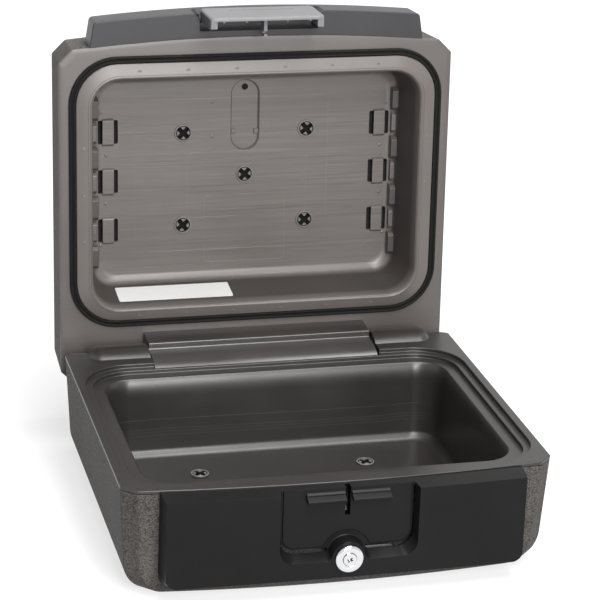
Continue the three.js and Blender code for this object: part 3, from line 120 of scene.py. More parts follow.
class InsideSizes(bpy.types.PropertyGroup):
    """Sizes of the cavity, the lid's hollow and the hinge"""
    cavity: margins("Cavity margins", "Mouth of the cavity", 29.2, 32, 68.5, 25)
    cavity_depth: length("Cavity depth", "Deck to cavity floor", 87)
    cavity_draft: length("Cavity draft", "How far the cavity draws in", 3)
    cavity_fillet: length("Cavity fillet", "Fillet round the cavity floor", 9)
    rim: margins("Rim margins", "Rim round the cavity", 15, 12, 53.5, 39)
    rim_depth: length("Rim depth", "Deck to rim", 8)
    ledge: margins("Ledge margins", "Ledge round the rim", 8, 6, 46.5, 46)
    ledge_depth: length("Ledge depth", "Deck to ledge", 4)
    ring: margins("Ring margins", "Outer edge of the lid's ring", 16.3, 14.2, 64.4, 40)
    ring_height: length("Ring height", "How far the ring stands off the flange", 6.5)
    ring_fall: length("Ring fall", "How far the ring's face falls away to the seal", 3.4)
    hollow: margins("Hollow margins", "Mouth of the lid's hollow", 31.3, 29, 76.3, 28)
    hollow_depth: length("Hollow depth", "Flange to the hollow's floor", 54.8)
    hollow_draft: length("Hollow draft", "How far the hollow draws in", 10)
    hollow_fillet: length("Hollow fillet", "Fillet round the hollow's floor", 8)
    seal_width: length("Seal width", "Width of the seal", 6.6)
    seal_height: length("Seal height", "Height of the seal", 3.3)
    hump_radius: length("Hump radius", "Radius of the humps over the hinge", 33)
    hump_foot: length("Hump end radius", "Radius where a hump ends", 25)
    hump_end: length("Hump end", "Outer end of a hump", 173)
    hump_straight: length("Hump straight", "Where a hump starts to round off", 161)
    pocket_half: length("Pocket half width", "Half the hinge pocket's width", 113.5)
    pocket_radius: length("Pocket radius", "Radius of the hinge pocket", 41.5)
    pocket_floor: length("Pocket floor", "Pocket floor below the hinge axis", 11.75)
    plug_radius: length("Plug radius", "Radius of a fill plug's cap", 8.8)
    plug_rim: length("Plug rim", "How proud a fill plug's cap stands", 1.2)


class FrontSizes(bpy.types.PropertyGroup):
    """Sizes of the panel, lock, latch and grip"""
    panel_half: length("Panel half width", "Half the front panel's width", 163)
    panel_reach: length("Panel reach", "How far the panel stands out", 19.5)
    panel_depth: length("Panel depth", "Height of the panel at its root", 86.8)
    panel_corner: length("Panel corner", "Rounding of its lower corners", 10)
    panel_edge: length("Panel edge", "Rounding round its face", 1.6)
    recess_half: length("Recess half width", "Half the recess at its floor", 57.8)
    recess_corner: length("Recess corner", "Corner radius of the recess", 11)
    boss_radius: length("Lock boss radius", "Edge of the recess's floor round the lock", 22)
    lock_radius: length("Lock face radius", "Radius of the lock's chromed face", 12.75)
    lock_drop: length("Lock drop", "Lock below the deck", 65)
    latch_half: length("Latch half width", "Half the latch's width", 55.8)
    latch_rise: length("Latch rise", "Latch above the seam", 14)
    latch_drop: length("Latch drop", "Latch below the seam", 37)
    latch_thickness: length("Latch thickness", "Thickness of the latch's face", 3.7)
    grip_half: length("Grip half width", "Half the grip bar's width", 165)
    grip_reach: length("Grip reach", "How far the grip bar stands out", 24.6)
    grip_height: length("Grip height", "Height of the grip bar", 41.5)


class Finishes(bpy.types.PropertyGroup):
    """Colours of the chest and its studio"""
    case: colour("Case", "Crinkled outer shells", 0.064, 0.059, 0.055)
    liner: colour("Liner", "Base liner and deck", 0.0165, 0.0145, 0.0134)
    lid_liner: colour("Lid liner", "Lid hollow and flange", 0.107, 0.094, 0.088)
    black: colour("Black", "Front panel", 0.007, 0.007, 0.0075)
    grip: colour("Grip", "Grip bar", 0.031, 0.031, 0.033)
    latch: colour("Latch", "Latch", 0.165, 0.162, 0.167)
    plug: colour("Plugs", "Fill plugs", 0.15, 0.138, 0.13)
    seal: colour("Seal", "Rubber seal", 0.006, 0.0056, 0.0052)
    paper: colour("Label", "Blank label", 0.66, 0.66, 0.65)
    chrome: colour("Chrome", "Lock face", 0.62, 0.62, 0.63)
    steel: colour("Steel", "Pins and screws", 0.45, 0.45, 0.46)
    fill: colour("Fill", "Insulation between the walls", 0.3, 0.28, 0.25)
    floor: colour("Floor", "Studio floor", 0.35, 0.35, 0.35)


# Outlines and solids

def round_corners(points, radii, steps):
    """Rounds a closed outline's corners; a radius of 0 leaves its corner as it is."""
    rounded = []
    for i, (point, radius) in enumerate(zip(points, radii)):
        here = Vector(point)
        if radius <= 0:
            rounded.append(tuple(here))
            continue
        before = (Vector(points[i - 1]) - here).normalized()
        after = (Vector(points[(i + 1) % len(points)]) - here).normalized()
        half = before.angle(after) / 2
        reach = radius / math.tan(half)
        centre = here + (before + after).normalized() * (radius / math.sin(half))
        start, end = here + before * reach - centre, here + after * reach - centre
        turn = math.pi - 2 * half
        for step in range(steps + 1):
            share = step / steps
            a = math.sin((1 - share) * turn) / math.sin(turn)
            b = math.sin(share * turn) / math.sin(turn)
            rounded.append(tuple(centre + start * a + end * b))
    return rounded


def rounded_rectangle(x0, x1, y0, y1, low_radius, high_radius, steps):
    """A rectangle with one radius at its two lower corners and one at its two upper ones."""
    corners = [(x0, y0), (x1, y0), (x1, y1), (x0, y1)]
    return round_corners(corners, [low_radius] * 2 + [high_radius] * 2, steps)


def rounded_block(half, y0, y1, radius, steps=8):
    """A rectangle with round corners, seen from above."""
    corners = [(half, y0), (half, y1), (-half, y1), (-half, y0)]
    return round_corners(corners, [radius] * 4, steps)


def margins_block(s, inset, grow=0.0, steps=8):
    """A rounded rectangle given by its margins in from the case's outline and its corner."""
    side, front, back, corner = inset
    half, y0, y1 = s.width / 2 - side + grow, s.front + front - grow, s.back - back + grow
    return rounded_block(half, y0, y1, corner + grow, steps)


def case_outline(s, side=0.0, front=0.0, back=0.0):
    """The case seen from above, drawn in by an inset at each edge."""
    half = s.width / 2 - side
    y0, y1, chamfer = s.front + front, s.back - back, s.chamfer
    flat, steps = half - chamfer, 24
    points, radii = [], []
    for i in range(steps + 1):
        x = -flat + 2 * flat * i / steps
        points.append((x, y0 - s.bow * (1 - (x / flat) ** 2)))
        radii.append(s.corner_round if i in (0, steps) else 0)
    for point in [(half, y0 + chamfer), (half, y1 - chamfer), (half - chamfer, y1),
                  (-half + chamfer, y1), (-half, y1 - chamfer), (-half, y0 + chamfer)]:
        points.append(point)
        radii.append(s.corner_round)
    return round_corners(points, radii, 4)


def even_outline(s, inset):
    """The case's outline drawn in alike all round."""
    return case_outline(s, inset, inset, inset)


def slab_levels(s, low, high):
    """Levels of a slab with the case's outline and a round lip at both its faces."""
    lip, shares = RIM_LIP, [i / 4 for i in range(5)]
    foot = [(even_outline(s, round_inset(lip, lip * share)), low + lip * share) for share in shares]
    return foot + [(even_outline(s, round_inset(lip, lip * (1 - share))), high - lip + lip * share)
                   for share in shares]


def bow_at(s, x):
    """How far the front bows out at a place across it."""
    flat = s.width / 2 - s.chamfer
    return s.bow * (1 - (x / flat) ** 2)


def loft(name, levels, axis="Z", ring=False):
    """A closed skin through outlines with like points. A ring joins its last level to its first."""
    place_point = {"X": lambda p, w: (w, p[0], p[1]), "Y": lambda p, w: (p[0], w, p[1]),
                   "Z": lambda p, w: (p[0], p[1], w)}[axis]
    count = len(levels[0][0])
    corners = [place_point(point, w) for points, w in levels for point in points]
    faces = []
    spans = len(levels) if ring else len(levels) - 1
    for level in range(spans):
        low, high = level * count, (level + 1) % len(levels) * count
        for i in range(count):
            j = (i + 1) % count
            faces.append((low + i, low + j, high + j, high + i))
    if not ring:
        faces.append(tuple(range(count - 1, -1, -1)))
        faces.append(tuple(range((len(levels) - 1) * count, len(levels) * count)))
    return solid(name, corners, faces)


def solid(name, corners, faces):
    """A mesh object from points and faces, with its faces turned outward."""
    mesh = bpy.data.meshes.new(name)
    mesh.from_pydata(corners, [], faces)
    body = bmesh.new()
    body.from_mesh(mesh)
    bmesh.ops.remove_doubles(body, verts=body.verts, dist=1e-7)
    bmesh.ops.recalc_face_normals(body, faces=body.faces)
    body.to_mesh(mesh)
    body.free()
    result = bpy.data.objects.new(name, mesh)
    bpy.context.scene.collection.objects.link(result)
    return result


def block(x0, x1, y0, y1, z0, z1):
    """A plain box for cutting with."""
    outline = [(x0, y0), (x1, y0), (x1, y1), (x0, y1)]
    return loft("cutter", [(outline, z0), (outline, z1)])


def turned(name, profile, sides=48):
    """A solid of revolution about Z through (radius, height) points that start and end on the axis."""
    corners, faces = [(0, 0, profile[0][1]), (0, 0, profile[-1][1])], []
    inner = profile[1:-1]
    for radius, height in inner:
        for i in range(sides):
            turn = 2 * math.pi * i / sides
            corners.append((radius * math.cos(turn), radius * math.sin(turn), height))
    for level in range(len(inner) - 1):
        for i in range(sides):
            j = (i + 1) % sides
            low, high = 2 + level * sides, 2 + (level + 1) * sides
            faces.append((low + i, low + j, high + j, high + i))
    last = 2 + (len(inner) - 1) * sides
    for i in range(sides):
        j = (i + 1) % sides
        faces.append((0, 2 + j, 2 + i))
        faces.append((1, last + i, last + j))
    return solid(name, corners, faces)


def moved(body, matrix):
    """Turns or shifts a body's mesh, with its object left at the origin."""
    body.data.transform(matrix)
    return body


def along_y(body, y, z):
    """Turns a body from Z to the back (+Y) and puts it in place at the middle."""
    return moved(body, Matrix.Translation((0, y, z)) @ Matrix.Rotation(-QUARTER, 4, "X"))


def along_x(body, x, y, z):
    """Turns a body from Z to the right (+X) and puts it in place."""
    return moved(body, Matrix.Translation((x, y, z)) @ Matrix.Rotation(QUARTER, 4, "Y"))


def rod_solid(radius, size, sides=48):
    """A plain cylinder along Z from 0."""
    return turned("rod", [(0, 0), (radius, 0), (radius, size), (0, size)], sides)


def baked(body):
    """Replaces a body's mesh with what its modifiers make of it."""
    graph = bpy.context.evaluated_depsgraph_get()
    result = bpy.data.meshes.new_from_object(body.evaluated_get(graph))
    body.modifiers.clear()
    old = body.data
    body.data = result
    bpy.data.meshes.remove(old)
    return body


def combined(body, kind, *others):
    """Joins, cuts or crosses a body with others, which are used up."""
    for other in others:
        change = body.modifiers.new(kind.lower(), "BOOLEAN")
        change.operation = kind
        change.solver = "MANIFOLD"
        change.object = other
        baked(body)
        if not body.data.polygons:
            raise RuntimeError(f"{body.name}: nothing is left after {kind} with {other.name}")
        mesh = other.data
        bpy.data.objects.remove(other)
        bpy.data.meshes.remove(mesh)
    return body


def cut(body, *others):
    """Cuts others from a body."""
    return combined(body, "DIFFERENCE", *others)


def joined(body, *others):
    """Joins others to a body."""
    return combined(body, "UNION", *others)


def crossed(body, *others):
    """Keeps what a body shares with others."""
    return combined(body, "INTERSECT", *others)


def eased(body, width, angle=38, segments=2):
    """Rounds the edges that are sharper than an angle."""
    bevel = body.modifiers.new("eased", "BEVEL")
    bevel.width = width
    bevel.segments = segments
    bevel.limit_method = "ANGLE"
    bevel.angle_limit = math.radians(angle)
    bevel.use_clamp_overlap = True
    return baked(body)


def cleaned(body, flat=0.5):
    """Merges doubles and joins faces that lie in one plane."""
    work = bmesh.new()
    work.from_mesh(body.data)
    bmesh.ops.remove_doubles(work, verts=work.verts, dist=2e-6)
    bmesh.ops.dissolve_degenerate(work, edges=work.edges, dist=1e-6)
    bmesh.ops.dissolve_limit(work, angle_limit=math.radians(flat), verts=work.verts, edges=work.edges)
    work.to_mesh(body.data)
    work.free()
    return body


def shaded(body, angle=32):
    """Smooths a body's faces up to an angle, with its flat faces left flat."""
    mesh = body.data
    for face in mesh.polygons:
        face.use_smooth = True
    mesh.set_sharp_from_angle(angle=math.radians(angle))
    weighted = body.modifiers.new("weighted", "WEIGHTED_NORMAL")
    weighted.keep_sharp = True
    return baked(body)


def finished(body, name, rides, slot, material, *nodes):
    """Names a piece, gives it its finish and makes it ride on its CAD body."""
    body.name = name
    body.data.name = name
    body.data.materials.clear()
    body.data.materials.append(finish(material))
    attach(body, rides)
    if nodes:
        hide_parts(*nodes)
    return body


def hinge_point(s):
    """The hinge axis, across Y and Z."""
    return s.hinge_y, s.base_height - s.hinge_drop


def opened(s, body):
    """Turns a body drawn with the lid shut to where it lies with the lid open."""
    y, z = hinge_point(s)
    there, back = Matrix.Translation((0, y, z)), Matrix.Translation((0, -y, -z))
    return moved(body, there @ Matrix.Rotation(OPEN_TURN, 4, "X") @ back)


def round_inset(radius, distance):
    """How far an edge of this radius has drawn in, at a distance from the flat it ends in."""
    if distance >= radius:
        return 0.0
    return radius - math.sqrt(max(radius ** 2 - (radius - distance) ** 2, 0))


def depth_steps(start, end, radius, steps):
    """Depths down a wall and round its last edge."""
    return [start] + [end - radius + radius * math.sin(i / steps * QUARTER) for i in range(steps + 1)]


def case_half(s, side, start, depth, draft, radii, offset, lip=0.0):
    """One skin of the base (side -1) or the lid (side 1), from near the seam to its flat."""
    end = depth - offset
    largest = max(radii) - offset
    stops = depth_steps(start, end, largest, 14)
    if lip:
        stops = [start, start + lip * 0.25, start + lip] + stops[1:]
    levels = []
    for d in stops:
        shared = offset + draft * d / depth
        if lip:
            shared += round_inset(lip, d - start)
        insets = [shared + round_inset(radius - offset, end - d) for radius in radii]
        levels.append((case_outline(s, *insets), s.base_height + side * d))
    return loft("shell", levels)


def tub(s, shape, offset, side, mouth, lip=0.0):
    """A drafted tub with a round floor edge and, with a lip, a round mouth."""
    inset, brim, floor, draft, fillet = shape
    end, radius = floor + offset, fillet + offset
    stops = depth_steps(mouth, end, radius, 9)
    levels = []
    if lip:
        flare = [(lip, mouth), (lip, brim)]
        flare += [(round_inset(lip, lip * i / 5), brim + lip * i / 5) for i in range(1, 5)]
        levels = [(margins_block(s, inset, grow), s.base_height + side * d) for grow, d in flare]
        stops = [brim + lip] + stops[1:]
    for d in stops:
        drawn = draft * (d - brim) / (floor - brim) + round_inset(radius, end - d) - offset
        drawn_margins = (*inset[:3], inset[3] + drawn - min(drawn, draft))
        levels.append((margins_block(s, drawn_margins, -drawn), s.base_height + side * d))
    return loft("tub", levels)


# Nodes

class Value:
    """An output socket; its sums, products and ranges are made by nodes of its tree."""

    def __init__(self, socket):
        self.socket = socket
        self.tree = socket.id_data

    def calc(self, operation, other=0):
        """A Math node on this value and another value or number."""
        return made(self.tree, "ShaderNodeMath", "Value", {0: self, 1: other}, operation=operation)

    def __add__(self, other):
        return self.calc("ADD", other)

    def __sub__(self, other):
        return self.calc("SUBTRACT", other)

    def __mul__(self, other):
        return self.calc("MULTIPLY", other)

    def most(self, other):
        """The larger of two values."""
        return self.calc("MAXIMUM", other)

    def size(self):
        """The value without its sign."""
        return self.calc("ABSOLUTE")

    def ranged(self, low, high, to_low, to_high):
        """The value mapped from one range to another, and held inside it."""
        return made(self.tree, "ShaderNodeMapRange", "Result", {
            "Value": self, "From Min": low, "From Max": high, "To Min": to_low, "To Max": to_high})


def put(node, key, value):
    """Sets a node's input, or links it to a value."""
    socket = node.inputs[key]
    if isinstance(value, Value):
        node.id_data.links.new(value.socket, socket)
    else:
        socket.default_value = value


def add_node(tree, kind, inputs=None, **options):
    """A new node with its options and inputs."""
    node = tree.nodes.new(kind)
    for key, value in options.items():
        setattr(node, key, value)
    for key, value in (inputs or {}).items():
        put(node, key, value)
    return node


def made(tree, kind, output, inputs=None, **options):
    """One output of a new node."""
    return Value(add_node(tree, kind, inputs, **options).outputs[output])


def fed(node, key):
    """The value that a node's input is linked to."""
    return Value(node.inputs[key].links[0].from_socket)


def mapped(vector, **inputs):
    """A vector through a Mapping node."""
    return made(vector.tree, "ShaderNodeMapping", "Vector", {"Vector": vector, **inputs})


def coordinates(shader, **inputs):
    """Object coordinates through a Mapping node."""
    return mapped(made(shader.id_data, "ShaderNodeTexCoord", "Object"), **inputs)


def shut_coordinates(shader, s):
    """Object coordinates of a lid piece, turned to where it lies with the lid shut."""
    hinge = Vector((0, *hinge_point(s)))
    shift = hinge - Matrix.Rotation(-OPEN_TURN, 3, "X") @ hinge
    return coordinates(shader, Rotation=(-OPEN_TURN, 0, 0), Location=shift)


def split(vector):
    """The X, Y and Z of a vector."""
    node = add_node(vector.tree, "ShaderNodeSeparateXYZ", {"Vector": vector})
    return [Value(output) for output in node.outputs]


def noise(vector, scale, detail=3.0, roughness=0.55):
    """A Noise texture's value."""
    return made(vector.tree, "ShaderNodeTexNoise", "Fac",
                {"Vector": vector, "Scale": scale, "Detail": detail, "Roughness": roughness})


def mixed(factor, first, second):
    """A colour between two, each a colour or a value, by a factor."""
    factor_input, first_input, second_input, colour_output = 0, 6, 7, 2
    return made(factor.tree, "ShaderNodeMix", colour_output,
                {factor_input: factor, first_input: first, second_input: second}, data_type="RGBA")


def bumped(shader, height, strength, distance, below=None):
    """Puts a Bump node on a height, over another normal if one is given."""
    inputs = {"Strength": strength, "Distance": distance, "Height": height}
    if below:
        inputs["Normal"] = below
    put(shader, "Normal", made(shader.id_data, "ShaderNodeBump", "Normal", inputs))


def block_line(x, y, centre, half, corner, folded=False):
    """1 on the outline of a rounded rectangle or circle, and 0 away from it. Folded, it lies both sides."""
    sides = zip((x.size() if folded else x, y), centre, half)
    reach = [((value - middle).size() - (size - corner)).most(0) for value, middle, size in sides]
    apart = (reach[0] * reach[0] + reach[1] * reach[1]).calc("SQRT")
    return (apart - corner).size().ranged(0, MARK_WIDTH, 1, 0)


# Materials

def toned(colour_value, factor):
    """A colour made lighter or darker."""
    return (*[min(1.0, c * factor) for c in colour_value[:3]], 1)


def new_material(name, base, roughness, metallic=0.0, shine=0.5):
    """A Principled material's shader, with its uniform values set."""
    material = bpy.data.materials.new(f"chest_{name}")
    material.use_nodes = True
    material.diffuse_color = base
    shader = material.node_tree.nodes["Principled BSDF"]
    for key, value in (("Base Color", base), ("Roughness", roughness), ("Metallic", metallic),
                       ("Specular IOR Level", shine)):
        put(shader, key, value)
    return shader


def shadowed(shader, factor):
    """Paints shade into a finish: darkens it and dulls it where a factor is 1, as down a deep socket."""
    shadow, dull = (0.0015, 0.0014, 0.0013, 1), 0.95
    put(shader, "Base Color", mixed(factor, fed(shader, "Base Color"), shadow))
    put(shader, "Roughness", fed(shader, "Roughness").most(factor * dull))


def crinkle_plastic(colours):
    """Moulded plastic with a fine leather-like crinkle, and painted shade down inside the tongue's slot."""
    shader = new_material("crinkle_plastic", colours.case, 0.6, shine=0.08)
    vector = coordinates(shader)
    cells = made(vector.tree, "ShaderNodeTexVoronoi", "Distance",
                 {"Vector": vector, "Scale": 700, "Smoothness": 0.5}, feature="SMOOTH_F1")
    grain, lumps = noise(vector, 1100, 2, 0.6), noise(vector, 330, 2, 0.5)
    height = cells * 0.9 + (grain * 0.35 + lumps * 0.5)
    bumped(shader, height, 1.0, 0.0007)
    shade = height.ranged(0.55, 1.15, 0, 0.75) + noise(vector, 8, 2).ranged(0.3, 0.7, 0, 0.25)
    put(shader, "Base Color", mixed(shade, toned(colours.case, 2.3), toned(colours.case, 0.45)))
    put(shader, "Roughness", grain.ranged(0.3, 0.7, 0.45, 0.65))
    x, y, z = split(vector)
    # Painted shade: the shell is darkened and dulled down inside the tongue's slot
    slot_shade_mask = y.ranged(-0.166, -0.164, 1, 0) * z.ranged(0.06, 0.062, 0, 1)
    shadowed(shader, x.size().ranged(0.006, 0.007, 1, 0) * slot_shade_mask)


def satin_plastic(name, base, roughness, shine, fine=0.00004):
    """Smooth moulded plastic with a faint grain and slow changes of gloss."""
    shader = new_material(name, base, roughness, shine=shine)
    vector = coordinates(shader)
    slow = noise(vector, 14, 3)
    put(shader, "Base Color", mixed(slow.ranged(0.3, 0.7, 0, 1), toned(base, 0.9), toned(base, 1.12)))
    put(shader, "Roughness", slow.ranged(0.3, 0.7, roughness - 0.04, roughness + 0.05))
    bumped(shader, noise(vector, 1400, 2), 0.35, fine)
    return shader


def plug_plastic(name, base, vector_of, face, sign):
    """A fill plug's satin plastic, with painted shade down its socket and the ring round it."""
    shader = satin_plastic(name, base, 0.4, 0.35)
    height = split(vector_of(shader))[2]
    # Painted shade: darker and duller below the plug's face, down its socket and the ring round it
    shadowed(shader, ((height - face) * sign).ranged(-0.0016, -0.0005, 1, 0))


def flow_marked_plastic(s, colours):
    """The base liner's satin plastic, with a few thin flow lines low on the cavity's back wall."""
    shader = satin_plastic("base_liner_plastic", colours.liner, 0.34, 0.55)
    _, y, z = split(coordinates(shader))
    sag = noise(coordinates(shader, Scale=(5.5, 0.5, 0.5)), 1.0, 2, 0.5)
    low, wall = s.base_height - s.cavity_depth, s.back - s.cavity[2]
    lines = []
    for rise, wave in ((0.021, 0.011), (0.0245, 0.0135), (0.0275, 0.016), (0.0375, 0.012)):
        middle = sag * wave + (low + rise - wave / 2)
        lines.append((z - middle).size().ranged(0.00005, 0.00045, 1, 0))
    line = reduce(Value.most, lines) * y.ranged(wall - 0.014, wall - 0.006, 0, 1)
    bumped(shader, line, 0.25, 0.0002, fed(shader, "Normal"))
    put(shader, "Base Color", mixed(line * 0.4, fed(shader, "Base Color"), toned(colours.liner, 3.5)))


def streaked_plastic(s, colours):
    """The lid liner's satin plastic: fine level streaks, moulding lines, and painted shade on the hollow's
    walls, its flange, its slots and the pill's hole.
    """
    base = colours.lid_liner
    shader = new_material("lid_liner_plastic", base, 0.36, shine=0.5)
    shut = shut_coordinates(shader, s)
    x, y, z = split(shut)
    seam, roof = s.base_height, s.base_height + s.hollow_depth
    long_ones = mapped(shut, Scale=(4, 150, 4), Rotation=(0, 0, 0.008))
    thin = noise(mapped(shut, Scale=(13, 520, 13), Rotation=(0, 0, 0.012)), 1.0, 2, 0.5)
    floor = z.ranged(roof - 0.0075, roof - 0.0035, 0.12, 1)
    scratches = thin.ranged(0.56, 0.66, 0, 1) - thin.ranged(0.34, 0.44, 1, 0)
    streaks = scratches * noise(long_ones, 0.35, 2, 0.5).ranged(0.42, 0.58, 0.25, 1) * floor
    wide = noise(long_ones, 1.0, 3, 0.6).ranged(0.3, 0.7, -1, 1) * floor
    slow = noise(shut, 10, 3)
    circle = (0.0102, 0.0102), 0.0102, True
    marks = (((0.1336, -0.1084), *circle), ((0.1335, 0.0654), *circle),
             ((0.0012, 0.0344), (0.0414, 0.0349), 0.004), ((-0.013, -0.022), (0.0983, 0.078), 0.006),
             ((0.003, -0.0115), (0.061, 0.0335), 0.005))
    lines = reduce(Value.most, [block_line(x, y, *mark) for mark in marks])
    worn = noise(shut, 26, 2).ranged(0.42, 0.52, 0.25, 1)
    lines = lines * worn * z.ranged(roof - 0.0012, roof - 0.0006, 0, 1)
    shade = slow.ranged(0.3, 0.7, 0.38, 0.58) + (streaks * 0.2 + wide * 0.13) + lines * 0.3
    lit = mixed(shade, toned(base, 0.62), toned(base, 1.4))
    off_floor = z.ranged(roof - 0.011, roof - 0.004, 1, 0)
    # Painted shade: the hollow's walls, and less so the flange, are mixed toward a dark copy of the plastic,
    # so the floor looks lit
    walls = z.ranged(seam, seam + 0.008, 0, 1) * off_floor
    flange = z.ranged(seam - 0.001, seam - 0.0003, 0, 0.28) * off_floor
    put(shader, "Base Color", mixed(flange.most(walls * 0.78), lit, toned(base, 0.12)))
    put(shader, "Roughness", slow.ranged(0.3, 0.7, 0.34, 0.4) + walls * 0.12 + (streaks + wide) * -0.03)
    bumped(shader, streaks * -0.35 + lines * -1, 0.35, 0.0002)
    # Painted shade: the slots under the hook bridges and the pill's hole are darkened and dulled
    slots = x.size().ranged(0.1, 0.101, 0, 1) * z.ranged(roof + 0.0004, roof + 0.003, 0, 0.55)
    shadowed(shader, slots.most(z.ranged(roof + 0.0037, roof + 0.0042, 0, 1)))


def rubber(colours):
    """Matt black rubber."""
    shader = new_material("seal_rubber", colours.seal, 0.72, shine=0.15)
    grain = noise(coordinates(shader), 700, 3)
    bumped(shader, grain, 0.3, 0.0001)
    put(shader, "Roughness", grain.ranged(0.3, 0.7, 0.64, 0.8))


def paper(colours):
    """A blank white label with a faint tooth."""
    shader = new_material("label_paper", colours.paper, 0.45)
    grain = noise(coordinates(shader), 260, 4)
    put(shader, "Base Color", mixed(grain.ranged(0.3, 0.7, 0, 1), toned(colours.paper, 0.96), colours.paper))
    bumped(shader, grain, 0.15, 0.00005)


def metal(name, base, roughness, scratches):
    """Metal with a faint change of gloss."""
    shader = new_material(name, base, roughness, 1.0)
    marks = noise(coordinates(shader), 350, 4)
    put(shader, "Roughness", marks.ranged(0.3, 0.75, roughness, roughness + scratches))
    bumped(shader, marks, 0.08, 0.00003)


def chalky_fill(colours):
    """Rough light fill between the walls."""
    shader = new_material("chalky_fill", colours.fill, 0.95)
    pores = noise(coordinates(shader), 180, 5, 0.7)
    put(shader, "Base Color", mixed(pores, toned(colours.fill, 0.8), toned(colours.fill, 1.15)))
    bumped(shader, pores, 0.6, 0.001)


def finish(name):
    """A material that the finishes operator has made."""
    material = bpy.data.materials.get(f"chest_{name}")
    if material is None:
        raise RuntimeError(f"make the finishes before the pieces: there is no {name}")
    return material


# Hinge shapes

def hump_solid(s, grow, sign):
    """The barrel over one side of the hinge, with its outer end rounded off."""
    radius = s.hump_radius + grow
    end, start = s.hump_end + grow, s.pocket_half + (0 if grow else 0.0003)
    straight = s.hump_straight + grow
    profile, steps = [(0, 0), (radius, 0)], 10
    for i in range(steps + 1):
        turn = i / steps * QUARTER
        drop = (radius - s.hump_foot) * (1 - math.cos(turn))
        profile.append((radius - drop, straight - start + (end - straight) * math.sin(turn)))
    profile.append((0, end - start))
    y, z = hinge_point(s)
    body = along_x(turned("hump", profile, 96), start, y, z)
    if sign < 0:
        moved(body, Matrix.Scale(-1, 4, (1, 0, 0)))
        body.data.flip_normals()
    return body


def hinge_cylinder(s, radius, half, sides=96):
    """A cylinder on the hinge axis."""
    y, z = hinge_point(s)
    return along_x(rod_solid(radius, half * 2, sides), -half, y, z)


def back_edge(s):
    """What the lid's edge sweeps past behind the hinge axis."""
    y, z = hinge_point(s)
    half, gap, sides = s.width, 0.00035, 160
    behind = block(-half, half, y, s.back + PAST, z, s.base_height + PAST)
    return cut(behind, hinge_cylinder(s, s.hinge_drop - gap, s.width * 1.1, sides))


def pocket_solid(s, grow, half, top, end):
    """The hinge pocket: a round trough in front of the axis and an open box behind it."""
    y, z = hinge_point(s)
    radius, lip_drop, box_reach = s.pocket_radius + grow, 0.0065, 0.0375
    keep = block(-half * 1.1, half * 1.1, y - radius * 1.1, y, z - radius * 1.1, s.base_height - lip_drop)
    trough = crossed(hinge_cylinder(s, radius, half), keep)
    front = y - box_reach - grow
    behind = block(-half, half, front, end, z - s.pocket_floor - grow, top)
    return joined(trough, behind)


# Pieces of the base

def make_base_shell(s):
    """The crinkled outer shell of the base."""
    radii = (s.foot_side, s.foot_front, s.foot_back)
    shell = case_half(s, -1, s.flange + s.seam, s.base_height, s.base_draft, radii, 0, RIM_LIP)
    room = case_half(s, -1, 0, s.base_height, s.base_draft, radii, s.wall)
    y, z = hinge_point(s)
    side_room, room_below = 0.0033, 0.0028
    half = s.pocket_half + side_room
    window = block(-half, half, y, s.back + PAST, z - s.pocket_floor - room_below, s.base_height)
    slot_half, slot_top, slot_foot = 0.003, 0.01, 0.03
    slot = block(-slot_half, slot_half, s.front - s.bow - 0.005, s.front,
                 s.base_height - slot_foot, s.base_height - slot_top)
    return shaded(cleaned(cut(shell, room, window, slot, back_edge(s))))


def stepped_cutter(s):
    """The ledge, rim and cavity as one body that is cut from the deck."""
    lip = s.lip
    levels = []

    def step(inset, top, grow):
        """Adds the outline of some margins, grown, at a depth below the deck."""
        levels.append((margins_block(s, inset, grow), s.base_height - top))

    step(s.ledge, -2 * PAST, lip)
    rounding = [0, 0.25, 0.5, 0.75, 1]
    for inset, top, low in ((s.ledge, 0, s.ledge_depth), (s.rim, s.ledge_depth, s.rim_depth)):
        for share in rounding:
            step(inset, top + lip * share, round_inset(lip, lip * share))
        for share in rounding:
            step(inset, low - lip + lip * share, -round_inset(lip, lip * (1 - share)))
    floor, brim, radius = s.cavity_depth, s.rim_depth, s.cavity_fillet
    wide, deep = 0.0045, 0.018
    for share in (0, 0.02, 0.06, 0.13, 0.22, 0.34, 0.48, 0.64, 0.82, 1):
        drawn = s.cavity_draft * deep * share / (floor - brim)
        step(s.cavity, brim + deep * share, round_inset(wide, wide * share) - drawn)
    for d in depth_steps(brim + deep, floor, radius, 10)[1:]:
        drawn = s.cavity_draft * (d - brim) / (floor - brim) + round_inset(radius, floor - d)
        step((*s.cavity[:3], s.cavity[3] + drawn - min(drawn, s.cavity_draft)), d, -drawn)
    return loft("steps", levels)


def plug_hole(x, y, z):
    """A hole for a fill plug's stem."""
    return moved(rod_solid(PLUG_HOLE, 0.01, 32), Matrix.Translation((x, y, z - 0.005)))


